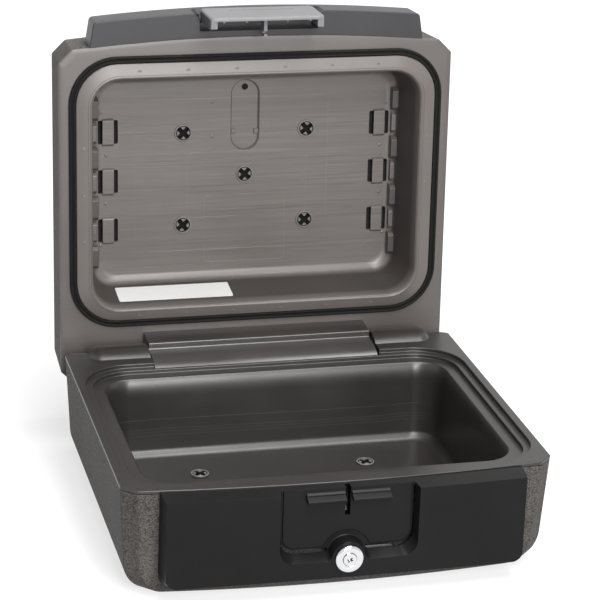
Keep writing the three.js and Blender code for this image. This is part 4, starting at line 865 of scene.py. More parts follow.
def make_base_liner(s):
    """The deck, rim, cavity, humps and hinge pocket of the base, in one moulding."""
    top, middle = s.base_height, s.base_height - s.flange / 2
    body = cut(loft("deck", slab_levels(s, top - s.flange, top)), back_edge(s))
    under = margins_block(s, s.ledge, 0.002)
    joined(body, loft("under", [(under, top - s.rim_depth - s.liner_wall), (under, middle)]))
    cavity = (s.cavity, s.rim_depth, s.cavity_depth, s.cavity_draft, s.cavity_fillet)
    outer = tub(s, cavity, s.liner_wall, -1, s.rim_depth + 0.0003)
    joined(body, outer, pocket_solid(s, s.liner_wall, s.pocket_half + 0.003, middle, s.back - 0.0024))
    for sign in (1, -1):
        room = block(-s.width, s.width, s.hinge_y - s.hump_radius * 1.1, s.back - 0.0008,
                     middle, top + s.hump_radius)
        joined(body, crossed(hump_solid(s, 0, sign), room))
    cut(body, stepped_cutter(s))
    cut(body, pocket_solid(s, 0, s.pocket_half, top + s.hump_radius, s.back + 0.005))
    cut(body, hinge_cylinder(s, PIN_HOLE, s.pocket_half + 0.009, 32))
    cut(body, *[plug_hole(x, y, top - s.cavity_depth) for x, y in base_plug_places()])
    return shaded(cleaned(body))


def five_spots(x, front, middle, back):
    """Places of five fill plugs: one at the middle and four round it."""
    return [(-x, front), (x, front), (0, middle), (-x, back), (x, back)]


def base_plug_places():
    """Fill plugs on the base's floor."""
    return five_spots(0.082, -0.079, -0.014, 0.051)


def lid_plug_places():
    """Fill plugs on the floor of the lid's hollow, with the lid shut."""
    return five_spots(0.0629, -0.0655, -0.0211, 0.0293)


def plug_template(s):
    """One fill plug with its face up and its cross-shaped socket."""
    radius, rim, edge = s.plug_radius, s.plug_rim, 0.0005
    stem, moat = radius - 0.0012, 0.0066
    foot, bed, face = -0.007, rim - 0.0016, rim - 0.0002
    profile = [(0, foot), (stem - edge, foot), (stem, foot + edge), (stem, 0), (radius, 0),
               (radius, rim - edge), (radius - edge * 0.3, rim - edge * 0.3), (radius - edge, rim),
               (moat + 0.0009, rim),
               (moat + 0.0007, face), (moat + 0.0006, bed), (moat, bed), (moat - 0.0002, rim - 0.0004),
               (moat - 0.0005, face), (0, face)]
    body = turned("plug_template", profile, 48)
    half, reach = 0.0023, 0.0068
    cross = [(-half, -reach), (half, -reach), (half, -half), (reach, -half), (reach, half), (half, half),
             (half, reach), (-half, reach), (-half, half), (-reach, half), (-reach, -half), (-half, -half)]
    shape = round_corners(cross, [0.0008, 0.0008, 0.0006] * 4, 3)
    cutter = moved(loft("cross", [(shape, rim - 0.005), (shape, rim + 0.002)]), Matrix.Rotation(0.75, 4, "Z"))
    return shaded(eased(cut(body, cutter), 0.0002, 50, 1))


def scatter_tree():
    """A node group that sets a piece on every point of a mesh, in one material."""
    tree = bpy.data.node_groups.new("set_on_points", "GeometryNodeTree")
    for name, kind, default in (("Points", "Geometry", None), ("Piece", "Object", None),
                                ("Turn", "Rotation", None), ("Size", "Float", 1.0), ("Spin", "Float", None),
                                ("Seed", "Int", 4), ("Material", "Material", None)):
        socket = tree.interface.new_socket(name, in_out="INPUT", socket_type=f"NodeSocket{kind}")
        if default is not None:
            socket.default_value = default
    tree.interface.new_socket("Geometry", in_out="OUTPUT", socket_type="NodeSocketGeometry")
    given = {output.name: Value(output) for output in add_node(tree, "NodeGroupInput").outputs}
    low_input, high_input, number_output = 2, 3, 1
    loose = made(tree, "FunctionNodeRandomValue", number_output, {
        low_input: given["Spin"] * -1, high_input: given["Spin"], "Seed": given["Seed"]})
    about_z = made(tree, "ShaderNodeCombineXYZ", "Vector", {"Z": loose})
    spun = made(tree, "FunctionNodeEulerToRotation", "Rotation", {"Euler": about_z})
    turned_by = made(tree, "FunctionNodeRotateRotation", "Rotation", {
        "Rotation": given["Turn"], "Rotate By": spun}, rotation_space="LOCAL")
    piece = made(tree, "GeometryNodeObjectInfo", "Geometry", {"Object": given["Piece"]})
    spread = made(tree, "GeometryNodeInstanceOnPoints", "Instances", {
        "Points": given["Points"], "Instance": piece, "Rotation": turned_by, "Scale": given["Size"]})
    real = made(tree, "GeometryNodeRealizeInstances", "Geometry", {"Geometry": spread})
    dressed = made(tree, "GeometryNodeSetMaterial", "Geometry", {
        "Geometry": real, "Material": given["Material"]})
    add_node(tree, "NodeGroupOutput", {"Geometry": dressed})
    return tree


def scattered(name, places, template, material, turn=(0, 0, 0), spin=0.0):
    """Copies of a template at places, made by Geometry Nodes and turned to one plain mesh."""
    mesh = bpy.data.meshes.new(name)
    mesh.from_pydata(places, [], [])
    body = bpy.data.objects.new(name, mesh)
    bpy.context.scene.collection.objects.link(body)
    tree = bpy.data.node_groups.get("set_on_points") or scatter_tree()
    spread = body.modifiers.new("spread", "NODES")
    spread.node_group = tree
    values = {"Piece": template, "Turn": turn, "Size": 1.0, "Spin": spin, "Material": finish(material)}
    for item in tree.interface.items_tree:
        if item.in_out == "INPUT" and item.name in values:
            spread[item.identifier] = values[item.name]
    baked(body)
    if not body.data.polygons:
        raise RuntimeError(f"{name}: the node group made nothing")
    used = template.data
    bpy.data.objects.remove(template)
    bpy.data.meshes.remove(used)
    return body


# Pieces of the lid, drawn with the lid shut

def make_lid_shell(s):
    """The crinkled outer shell of the lid."""
    radii = (s.lid_round,) * 3
    shell = case_half(s, 1, s.flange + s.seam, s.lid_height, s.lid_draft, radii, 0, RIM_LIP)
    room = case_half(s, 1, 0, s.lid_height, s.lid_draft, radii, s.wall)
    domes = [hump_solid(s, 0.0035, sign) for sign in (1, -1)]
    return opened(s, shaded(cleaned(cut(shell, room, *domes))))


def hollow_rows(s, inset, rows):
    """Places on the hollow's floor, in two columns at an inset from its mouth's sides."""
    x = s.width / 2 - s.hollow[0] - inset
    first, z = s.front + s.hollow[1] + FIRST_ROW, s.base_height + s.hollow_depth
    return [(sign * x, first + row * ROW_STEP, z) for row in rows for sign in (-1, 1)]


def bridge_places(s):
    """Hook bridges on the hollow's floor."""
    return hollow_rows(s, 0.0252, range(3))


def floor_dots(s):
    """Places of the small bumps between the hook bridges and near the hollow's middle."""
    column = ((0.1454, -0.0892), (0.1401, -0.0455), (0.141, 0.004), (0.1459, 0.047))
    spots = [(sign * x, y) for sign in (-1, 1) for x, y in column] + [(-0.0334, -0.0958), (-0.0331, -0.0609)]
    return [(x, y, s.base_height + s.hollow_depth) for x, y in spots]


def dot_template(radius, rise):
    """A low round bump that faces down."""
    profile = [(0, rise), (radius, rise), (radius, -rise * 0.2)]
    profile += [(radius * math.cos(i / 4 * QUARTER), -rise * (0.2 + 0.5 * math.sin(i / 4 * QUARTER)))
                for i in range(1, 4)]
    return shaded(turned("dot_template", profile + [(0, -rise * 0.7)], 20))


def cut_block(half, deep, reach, corner=0.003, low=0.0012, edge=0.0007):
    """A low block across X that hangs down, with its two lower corners cut off."""
    outline = [(-half, low), (-half, -deep + corner), (-half + corner, -deep), (half - corner, -deep),
               (half, -deep + corner), (half, low)]
    return shaded(eased(loft("block_template", [(outline, -reach), (outline, reach)], "X"), edge, 30, 2))


def nub_template():
    """A small square nub that faces down."""
    return shaded(eased(block(-0.0022, 0.0022, -0.0026, 0.0026, -0.0022, 0.0004), 0.0006, 30, 2))


def pill_solid(s, depth, grow=0.0, lip=0.0008):
    """The pill-shaped recess by the hollow's front."""
    front = s.front + s.hollow[1] + 0.018
    back = front + 0.071
    floor, half = s.base_height + s.hollow_depth, 0.014 + grow
    levels = []
    for out, rise in ((lip, -0.004), (lip, 0), (0, lip), (0, depth - lip), (-lip, depth)):
        outline = rounded_block(half + out, front - grow - out, back + grow + out, half + out)
        levels.append((outline, floor + rise))
    return loft("pill", levels)


def cup_solids(s, grow, depth):
    """The slots below the hook bridges."""
    cups, wide, deep = [], 0.01 + grow, 0.012 + grow
    for x, y, z in bridge_places(s):
        shape = rounded_rectangle(x - wide, x + wide, y - deep, y + deep, 0.0015, 0.0015, 3)
        cups.append(loft("cup", [(shape, z - 0.003), (shape, z + depth)]))
    return cups


def ring_outline(s, share, extra=0.0):
    """An outline on the lid's ring, at a share of the way out from the hollow."""
    side, front, back, corner = [inner + (outer - inner) * share for inner, outer in zip(s.hollow, s.ring)]
    return margins_block(s, (side - extra, front - extra, back - extra, corner + extra))


def ring_face(s, share):
    """Height of the ring's crowned face, which falls away toward the seal."""
    return s.base_height - s.ring_height + s.ring_fall * max(share, 0) ** 1.5


def ring_groove(s, share, width=0.0004, depth=0.0003):
    """A fine groove round the face of the lid's ring."""
    top = ring_face(s, share)
    section = ((-width, top - depth), (width, top - depth), (0, top + depth))
    return loft("groove", [(ring_outline(s, share, extra), z) for extra, z in section], ring=True)


def ring_dots(s):
    """Places of the small ejector marks round the ring."""
    side, front, back = [(outer + inner) / 2 for outer, inner in zip(s.ring[:3], s.hollow)]
    ends, z = (s.front + front, s.back - back), ring_face(s, 0.5)
    rows = [(x, y, z) for x in (-0.1176, -0.0703, -0.0225, 0.0255, 0.0725, 0.119) for y in ends]
    return rows + [(sign * (s.width / 2 - side), y, z) for y in (-0.068, -0.0208, 0.0257) for sign in (-1, 1)]


def make_lid_liner(s):
    """The lid's flange, ring and hollow in one moulding."""
    low, crown, fall = s.base_height + 0.00006, 0.006, 0.0006
    levels = [(even_outline(s, crown * (1 - i / 5)), low + fall * (i / 5) ** 2) for i in range(5)]
    body = loft("flange", levels + slab_levels(s, low + fall, low + s.flange))
    edge, seat = 0.0008, ring_face(s, 0.97)
    ring_levels = [(ring_outline(s, 1), low + s.flange / 2), (ring_outline(s, 1), seat + edge),
                   (ring_outline(s, 0.985), seat + edge * 0.3)]
    ring_levels += [(ring_outline(s, share), ring_face(s, share))
                    for share in (0.95, 0.85, 0.75, 0.65, 0.55, 0.45, 0.35, 0.25, 0.15, 0.05, -0.2)]
    hollow = (s.hollow, -s.ring_height, s.hollow_depth, s.hollow_draft, s.hollow_fillet)
    joined(body, loft("ring", ring_levels), tub(s, hollow, s.liner_wall, 1, 0.0003))
    skin_outline = even_outline(s, s.wall / 2)
    for sign in (1, -1):
        skin = loft("skin", [(skin_outline, low), (skin_outline, low + s.lid_height / 2)])
        joined(body, crossed(hump_solid(s, 0.0032, sign), skin))
    below = low + s.hollow_depth
    pill_out, pill_in, cup_out, cup_in = 0.006, 0.0035, 0.007, 0.0045
    for cup in (pill_solid(s, pill_out, s.liner_wall), *cup_solids(s, s.liner_wall, cup_out)):
        joined(body, crossed(cup, block(-s.width, s.width, -0.2, 0.2, below, below + 0.1)))
    mouth_lip, hump_gap = 0.0022, 0.001
    cut(body, tub(s, hollow, 0, 1, -s.ring_height - PAST, mouth_lip), *cup_solids(s, 0, cup_in),
        pill_solid(s, pill_in), *[hump_solid(s, hump_gap, sign) for sign in (1, -1)])
    hole, hole_y = 0.00325, -0.1096
    cut(body, moved(rod_solid(hole, 0.005, 32), Matrix.Translation((0, hole_y, below + 0.0003))))
    cut(body, *[plug_hole(x, y, below) for x, y in lid_plug_places()])
    cut(body, *[ring_groove(s, share) for share in (0.12, 0.24)])
    return opened(s, shaded(cleaned(body)))


def make_seal(s):
    """The rubber seal round the lid's ring, with two soft lips."""
    width, start = s.seal_width, 0.0003
    top = s.base_height - start
    low = top - s.seal_height
    section = [(0, top), (0, low + 0.001), (0.0004, low + 0.0003), (0.0014, low), (0.0022, low + 0.0003),
               (0.003, low + 0.0014), (width - 0.003, low + 0.0014), (width - 0.0022, low + 0.0003),
               (width - 0.0014, low), (width - 0.0004, low + 0.0003), (width, low + 0.001), (width, top)]
    levels = [(margins_block(s, s.ring, start + grow, 12), z) for grow, z in section]
    return opened(s, shaded(loft("seal", levels, ring=True), 50))


def make_label(s):
    """A thin blank label on the hollow's back wall."""
    lean = math.atan2(s.hollow_draft, s.hollow_depth + s.ring_height)
    half_wide, half_tall, half_thick, corner = 0.0575, 0.015, 0.00025, 0.0015
    shape = rounded_rectangle(-half_wide, half_wide, -half_tall, half_tall, corner, corner, 4)
    sheet = loft("label", [(shape, -half_thick), (shape, half_thick)], "Y")
    middle, rise = -0.077, 0.025
    inset = s.hollow_draft * (rise + s.ring_height) / (s.hollow_depth + s.ring_height)
    y = s.back - s.hollow[2] - inset - 0.0005
    moved(sheet, Matrix.Translation((middle, y, s.base_height + rise)) @ Matrix.Rotation(lean, 4, "X"))
    return opened(s, shaded(sheet))


# Pieces of the hinge, grip and latch, drawn with the lid shut

def make_hinge_strap(s):
    """The lid's half of the hinge: a stepped strap with a barrel along its root."""
    y, z = hinge_point(s)
    top, barrel = s.hinge_drop - 0.0003, 0.011
    corners = [(-36.9, top * 1000, 0.5), (-35.0, 2.6, 0), (-34.2, -1.0, 0.8), (-27.8, 0.2, 1.0),
               (-27.7, -4, 0), (-27.4, -8, 0), (-26.8, -13, 0), (-25.9, -18, 0), (-24.7, -23, 0),
               (-23.1, -27.5, 0), (-21.5, -31, 0), (-19.6, -34.0, 0.6), (-18.6, -34.4, 0.5),
               (-20.8, -5.1, 2.0), (-4, -10.5, 2.0)]
    points = [(a / 1000, b / 1000) for a, b, _ in corners] + [(0, -barrel)]
    turns = [i / 12 * QUARTER for i in range(1, 13)]
    points += [(barrel * math.sin(turn), -barrel * math.cos(turn)) for turn in turns]
    radii = [radius / 1000 for _, _, radius in corners] + [0] * 14
    shape = [(y + a, z + b) for a, b in round_corners(points + [(barrel, top)], radii, 5)]
    half = s.pocket_half - 0.0012
    body = loft("strap", [(shape, -half), (shape, half)], "X")
    cut(body, hinge_cylinder(s, PIN_HOLE, half * 1.2, 32))
    return opened(s, shaded(eased(cleaned(body, 0.1), 0.0006, 45, 2)))


def bar_outline(root_half, tip_half, root_y, tip_y, root_bow, tip_bow, corner):
    """A bar along the bowed front, seen from above."""
    points, radii, steps = [], [], 24
    for i in range(steps + 1):
        share = 2 * i / steps - 1
        points.append((share * tip_half, tip_y - tip_bow * (1 - share ** 2)))
        radii.append(corner if i in (0, steps) else 0)
    for i in range(steps + 1):
        share = 1 - 2 * i / steps
        points.append((share * root_half, root_y - root_bow * (1 - share ** 2)))
        radii.append(0)
    return round_corners(points, radii, 6)


def make_grip_bar(s):
    """The grip bar on the lid's front, with the latch's pocket."""
    at_end = bow_at(s, s.grip_half)
    bow, reach, tall = s.bow - at_end, s.grip_reach, s.grip_height

    def level(rise, out, narrow):
        """The bar's outline and height at a rise over the seam."""
        tuck, slant, corner = 0.0003, 0.004, 0.004
        wall = s.front - tuck + s.lid_draft * rise / s.lid_height
        outline = bar_outline(s.grip_half - narrow, s.grip_half - slant - narrow, wall - at_end,
                              s.front - at_end - out, bow, bow, corner)
        return outline, s.base_height + rise

    edge, crown, knee, lean = 0.0012, 0.006, 0.034, 0.001
    foot = [(edge * i / 4, round_inset(edge, edge * i / 4)) for i in range(5)]
    levels = [level(rise, reach - inset, inset) for rise, inset in foot]
    levels.append(level(knee - crown * 0.3, reach - lean * 0.8, 0.0006))
    for share in [i / 8 for i in range(1, 9)]:
        rise = knee - crown * 0.3 + 0.003 * share + crown * 0.12 * share
        levels.append(level(rise, reach - lean - 0.0016 * share ** 2, 0.0006 + 0.0006 * share))
    levels += [level(0.0372, reach - 0.0038, 0.0016), level(tall - 0.0008, 0.0068, 0.002),
               level(tall, 0.004, 0.0024)]
    middle = s.front - s.bow
    face, half, high, z = middle - reach, s.latch_half + 0.0027, 0.0215, s.base_height
    mouths = ((0, 0, middle - 0.0055, 0.003), (0, 0, face + 0.008, 0.003),
              (0.002, 0.0015, face + 0.0055, 0.005), (0.0055, 0.0045, face + 0.0015, 0.008),
              (0.0085, 0.0065, face - 0.001, 0.01), (0.015, 0.011, face - 0.006, 0.014))
    pocket = [(rounded_rectangle(-half - out, half + out, z - 0.005, z + (high + up), 0, corner, 6), y)
              for out, up, y, corner in mouths]
    body = cut(loft("grip", levels), loft("pocket", pocket, "Y"))
    return opened(s, shaded(eased(cleaned(body, 0.1), 0.0006, 40, 2), 34))


def make_latch(s):
    """The latch's cover: a long cap with eased edges, a thin groove and ribs behind."""
    face, z = s.front - 0.0347, s.base_height
    half, high, low = s.latch_half, z + s.latch_rise, z - s.latch_drop
    skirt, wall, inside = 0.0115, 0.0025, face + 0.0018

    def shape(inset, y, corner=0.005):
        """The cover's outline, drawn in, and where it lies."""
        return rounded_rectangle(-half + inset, half - inset, low + inset, high - inset, corner, corner, 6), y

    body = loft("latch", [shape(0.0022, face, 0.004), shape(0.0012, face + 0.0003),
                          shape(0.0005, face + 0.0009), shape(0.0001, face + 0.0017),
                          shape(0, face + 0.0024), shape(0, face + skirt)], "Y")
    behind, left_end, right_end, groove = face + s.latch_thickness, 0.026, 0.022, 0.0005
    cut(body, block(-half + wall, half - wall, behind, face + 0.03, low - PAST, high + PAST),
        block(-half + left_end, half - right_end, face - 0.001, face + groove, z - 0.0015, z - 0.0002))
    for sign in (-1, 1):
        ends = sorted((sign * (half - 0.007), sign * (half - 0.001)))
        joined(body, block(*ends, inside, face + skirt - 0.0006, low + 0.0006, z - 0.002))
    pivot, ear_radius, pin_radius, rib_half = (s.front - 0.0255, z + 0.009), 0.0048, 0.0022, 0.0009
    for sign in (-1, 1):
        ear = along_x(rod_solid(ear_radius, wall, 40), min(sign * half, sign * (half - wall)), *pivot)
        ends = sorted((sign * 0.0046, sign * 0.035))
        joined(body, ear, block(*ends, inside, s.front - 0.0272, z - 0.0166, z - 0.0136))
    ribs = [block(x - rib_half, x + rib_half, inside, s.front - 0.029, z - 0.0346, z - 0.0136)
            for x in (-0.042, -0.0198, 0.0198, 0.042)]
    joined(body, *ribs, block(-0.0042, 0.0042, inside, face + 0.0052, z - 0.03, z - 0.0115))
    cut(body, along_x(rod_solid(pin_radius, half * 2.2, 24), -half * 1.1, *pivot),
        block(-0.002, 0.002, face + 0.0034, face + 0.02, z - 0.0278, z - 0.0137))
    return opened(s, shaded(eased(cleaned(body, 0.1), 0.0004, 45, 2), 34))


def make_tongue(s):
    """The latch's locking tongue with its notch."""
    z, half, notch_half = s.base_height, 0.0017, 0.003
    blade = block(-half, half, s.front - 0.031, s.front - 0.0138, z - 0.0275, z - 0.014)
    notch = block(-notch_half, notch_half, s.front - 0.0188, s.front - 0.0159, z - 0.04, z - 0.021)
    return opened(s, shaded(eased(cut(blade, notch), 0.0003, 45, 2)))


# Front panel and lock

def panel_block(s, wall):
    """The panel's full block: bowed in plan, sloped at its top and foot."""
    at_end, top_drop, depth = bow_at(s, s.panel_half), 0.0012, s.panel_depth
    face = s.front - s.bow - s.panel_reach

    def plan(drop):
        """The panel seen from above, and its height."""
        tuck, slant, crown = 0.0003, 0.002, 0.0045
        root = s.front - at_end + s.base_draft * drop / s.base_height - tuck
        lift = 0.005 if wall else 0
        outline = bar_outline(s.panel_half - wall, s.panel_half - slant - wall, root + lift,
                              face + crown + wall, s.bow - at_end, crown, 0)
        return outline, s.base_height - drop

    def view(share, y):
        """The panel seen from the front, at a share of the way to its face."""
        low = s.base_height - top_drop - depth + wall + 0.005 * share
        high = s.base_height - top_drop - wall - 0.002 * share
        side = s.panel_half - wall - 0.002 * share
        return rounded_rectangle(-side, side, low, high, s.panel_corner, 0.0004, 8), y

    past = 1 + 0.005 / s.panel_reach
    window = loft("view", [view(0, s.front + PAST), view(0, s.front - s.bow), view(past, face - 0.005)], "Y")
    return crossed(loft("panel", [plan(0.0), plan(depth + 0.004)]), window)


def recess_pan(s):
    """The block of the latch recess with the walls and floor round it, wider toward the face."""
    slope, fall = 0.0044 / (RECESS_FACE - RECESS_FLOOR), 0.0094 / (RECESS_FACE - RECESS_FLOOR)
    levels, fillet, out, grow, deeper = [], 0.0036, 0.0154, 0.0022, 0.0024
    steps = [(fillet * i / 4, fillet * i / 4 - deeper, round_inset(fillet, fillet * i / 4)) for i in range(5)]
    for d, rise, tight in steps + [(out, out, 0)]:
        side = s.recess_half + slope * d - tight + grow
        low, corner = s.base_height - (0.0576 + fall * d - tight) - grow, s.recess_corner - tight + grow
        shape = rounded_rectangle(-side, side, low, s.base_height + PAST, corner, 0, 8)
        levels.append((shape, s.front - s.bow - (RECESS_FLOOR + rise)))
    return loft("recess", levels, "Y")


def arc(x, y, radius, start, end, steps=8):
    """Points along an arc."""
    angles = [start + (end - start) * i / steps for i in range(steps + 1)]
    return [(x + radius * math.cos(angle), y + radius * math.sin(angle)) for angle in angles]


def recess_edge(s, side, drop, corner, boss, blend):
    """An outline of the recess seen from the front, with its foot drawn round the lock's boss."""
    low, top = s.base_height - drop, s.base_height + PAST + 0.1 * corner
    lock_z = s.base_height - s.lock_drop
    lift = low + blend - lock_z
    across = math.sqrt((boss + blend) ** 2 - lift ** 2)
    meet = math.atan2(lift, across)
    points = arc(corner - side, low + corner, corner, math.pi, 1.5 * math.pi)
    points += arc(-across, low + blend, blend, -0.5 * math.pi, -meet)
    points += arc(0, lock_z, boss, math.pi - meet, meet, 40)[1:-1]
    points += arc(across, low + blend, blend, math.pi + meet, 1.5 * math.pi)
    points += arc(side - corner, low + corner, corner, 1.5 * math.pi, 2 * math.pi)
    return points + [(side, top), (-side, top)]


def recess_opening(s):
    """The room of the recess, and the groove that runs round its floor."""
    floor, straight = s.front - s.bow - RECESS_FLOOR, 0.0094

    def room(depth, inset=0.0):
        """The room's outline at a depth from the recess's floor."""
        side = s.recess_half + 0.0024 + 0.19 * depth - inset
        taper = min(max(depth, 0.0), straight) / straight
        boss = 0.0167 - 0.0009 * taper - max(depth - straight, 0.0) * 0.8 + inset
        return recess_edge(s, side, 0.0618 + 0.5 * depth - inset, s.recess_corner + 0.002 - inset, boss,
                           0.005 - inset), floor - depth

    def plate(depth, inset):
        """The outline of the floor inside the groove."""
        return recess_edge(s, s.recess_half - inset, 0.0576 - inset, s.recess_corner - inset,
                           s.boss_radius + inset, 0.0034 - inset), floor - depth

    depths = [(-0.0016, 0.001), (-0.0013, 0.0004), (-0.0009, 0), (0, 0), (straight, 0), (0.0104, 0),
              (0.0154, 0)]
    edges = [(-0.004, -0.0003), (-0.0009, 0.0), (-0.0005, 0.0001), (-0.0002, 0.0004), (0.0, 0.0009)]
    return cut(loft("room", [room(*step) for step in depths], "Y"),
               loft("plate", [plate(*step) for step in edges], "Y"))


def make_front_panel(s):
    """The black panel with the latch recess, catches and lock boss."""
    z, middle = s.base_height, s.front - s.bow
    lock_z, floor = z - s.lock_drop, middle - RECESS_FLOOR
    body = eased(cleaned(panel_block(s, 0), 0.05), s.panel_edge, 30, 4)
    wall, skin = 0.0025, 0.0003
    cut(body, panel_block(s, wall))
    joined(body, crossed(recess_pan(s), panel_block(s, skin)))
    face_radius, root_radius, tall = 0.0139, 0.0176, 0.017
    boss_room = turned("boss_room", [(0, 0), (face_radius, 0), (root_radius, tall), (0, tall)])
    cut(body, recess_opening(s), along_y(boss_room, middle - tall, lock_z))
    profile = round_corners([(floor + 0.0011, z - 0.0045), (floor - 0.0028, z - 0.0065),
                             (floor - 0.0029, z - 0.0084), (floor - 0.0087, z - 0.0102),
                             (floor - 0.0087, z - 0.0122), (floor + 0.0011, z - 0.013)],
                            [0, 0.0004, 0.0005, 0.0006, 0.0006, 0], 4)
    for sign in (-1, 1):
        ends = sorted((sign * 0.003, sign * 0.0375))
        joined(body, eased(loft("catch", [(profile, ends[0]), (profile, ends[1])], "X"), 0.0004, 40, 2))
    cut(body, block(-0.0024, 0.0024, middle - 0.03, middle + 0.005, z - 0.0285, z + PAST),
        along_y(rod_solid(0.0098, 0.03), middle - 0.025, lock_z))
    return shaded(cleaned(body), 34)


def make_lock_body(s):
    """The lock's chromed face and barrel."""
    z, middle = s.base_height - s.lock_drop, s.front - s.bow
    face, radius = 0.0232, s.lock_radius
    rim, back = face - (s.panel_reach + 0.0003), face - 0.0079
    profile = [(0, 0.0009), (0.0062, 0.0009), (0.0066, 0.0006), (0.0075, 0.0003), (0.0087, 0.0001),
               (0.0100, 0.0), (radius - 0.0019, 0.0002), (radius - 0.0011, 0.0006), (radius - 0.0005, 0.0011),
               (radius - 0.0001, 0.0017), (radius, 0.0023), (radius, rim - 0.0004), (radius - 0.0004, rim),
               (0.0095, rim), (0.0095, back), (0, back)]
    body = along_y(turned("lock", profile, 96), middle - face, z)
    return shaded(cut(body, along_y(rod_solid(0.0062, 0.04, 72), middle - 0.04, z)), 28)


def make_lock_plug(s):
    """The plug that the key turns, with its keyhole and tail."""
    z, middle = s.base_height - s.lock_drop, s.front - s.bow
    face, back = 0.0234, 0.006
    profile = [(0, 0), (0.0053, 0), (0.0058, 0.0002), (0.006, 0.0007), (0.006, face - back),
               (0.0032, face - back), (0.0032, face - 0.0041), (0, face - 0.0041)]
    body = along_y(turned("plug", profile, 72), middle - face, z)
    cut(body, along_y(rod_solid(0.0016, 0.014, 24), middle - face - 0.004, z))
    for turn in range(3):
        slit = block(-0.0027, 0.0027, middle - face - 0.002, middle - face + 0.007, -0.00055, 0.00055)
        spun = Matrix.Rotation(turn * math.pi / 3 + 0.2, 4, "Y")
        cut(body, moved(slit, Matrix.Translation((0, 0, z)) @ spun))
    return shaded(cut(body, along_y(rod_solid(0.0019, 0.004, 20), middle - 0.0073, z)), 28)


# Studio

def add_lamp(name, place_at, size, watts):
    """A white area lamp that looks at the chest."""
    data = bpy.data.lights.new(name, "AREA")
    data.shape = "RECTANGLE"
    data.size, data.size_y = size
    data.energy = watts
    lamp = bpy.data.objects.new(name, data)
    lamp.location = place_at
    lamp.rotation_mode = "QUATERNION"
    lamp.rotation_quaternion = (Vector((0, 0.02, 0.15)) - Vector(place_at)).to_track_quat("-Z", "Y")
    bpy.context.scene.collection.objects.link(lamp)


def seen_rays(tree):
    """1 for camera, glossy and transmission rays, from Light Path."""
    path = add_node(tree, "ShaderNodeLightPath")
    camera, glossy, clear = [Value(path.outputs[f"Is {kind} Ray"])
                             for kind in ("Camera", "Glossy", "Transmission")]
    return (camera + glossy + clear).calc("MINIMUM", 1.0)


def white_floor(colours):
    """A pale floor that shows white to the camera and keeps the object's shadow."""
    material = bpy.data.materials.new("studio_floor")
    material.use_nodes = True
    tree = material.node_tree
    tree.nodes.clear()
    diffuse = made(tree, "ShaderNodeBsdfDiffuse", "BSDF", {"Color": colours.floor})
    glow = add_node(tree, "ShaderNodeEmission", {"Color": (1, 1, 1, 1)})
    away = made(tree, "ShaderNodeVectorMath", "Value", {0: coordinates(glow)}, operation="LENGTH")
    put(glow, "Strength", seen_rays(tree) * away.ranged(0.3, 1.2, 0.72, 1.0))
    both = made(tree, "ShaderNodeAddShader", "Shader", {0: diffuse, 1: Value(glow.outputs["Emission"])})
    add_node(tree, "ShaderNodeOutputMaterial", {"Surface": both})
    return material


def make_camera(s):
    """The camera at the photograph's place, fitted to its frame."""
    azimuth, elevation, roll = -0.253340, 0.350855, 0.0335295
    distance, focal, sensor, picture = 2.21732, 2417.32, 36, 600
    target = Vector((-0.00208, 0, s.base_height + 0.10431))
    back = Vector((math.sin(azimuth) * math.cos(elevation), -math.cos(azimuth) * math.cos(elevation),
                   math.sin(elevation)))
    right = (-back).cross(Vector((0, 0, 1))).normalized()
    up = right.cross(-back)
    right_rolled = math.cos(roll) * right + math.sin(roll) * up
    up_rolled = -math.sin(roll) * right + math.cos(roll) * up
    data = bpy.data.cameras.new("camera")
    data.sensor_width = sensor
    data.lens = focal * sensor / picture
    data.clip_start, data.clip_end = 0.05, 50
    camera = bpy.data.objects.new("camera", data)
    turn = Matrix((right_rolled, up_rolled, back)).transposed().to_4x4()
    camera.matrix_world = Matrix.Translation(target + back * distance) @ turn
    bpy.context.scene.collection.objects.link(camera)
    bpy.context.scene.camera = camera


def make_world():
    """Plain white surroundings."""
    scene = bpy.context.scene
    scene.world = scene.world or bpy.data.worlds.new("studio")
    scene.world.use_nodes = True
    tree = scene.world.node_tree
    tree.nodes.clear()
    sky = made(tree, "ShaderNodeBackground", "Background",
               {"Color": (1, 1, 1, 1), "Strength": seen_rays(tree) * 0.92 + 0.08})
    add_node(tree, "ShaderNodeOutputWorld", {"Surface": sky})
    scene.view_settings.view_transform = "Standard"


# Operators

def keys_of(group):
    """The names of a group's own properties."""
    return [key for key in group.bl_rna.properties.keys() if key not in ("rna_type", "name")]


def settings(context):
    """Every size of the three size groups under its own name, and the group of colours."""
    scene, sizes = context.scene, SimpleNamespace()
    for group in (scene.chest_case, scene.chest_inside, scene.chest_front):
        for key in keys_of(group):
            value = getattr(group, key)
            setattr(sizes, key, value if isinstance(value, float) else tuple(value))
    return sizes, scene.chest_finishes


def build_rows(context, *rows):
    """Makes the piece of each row, a maker and what finished() is told, and ends the operator."""
    sizes, _ = settings(context)
    for maker, *told in rows:
        finished(maker(sizes), *told)
    return {"FINISHED"}


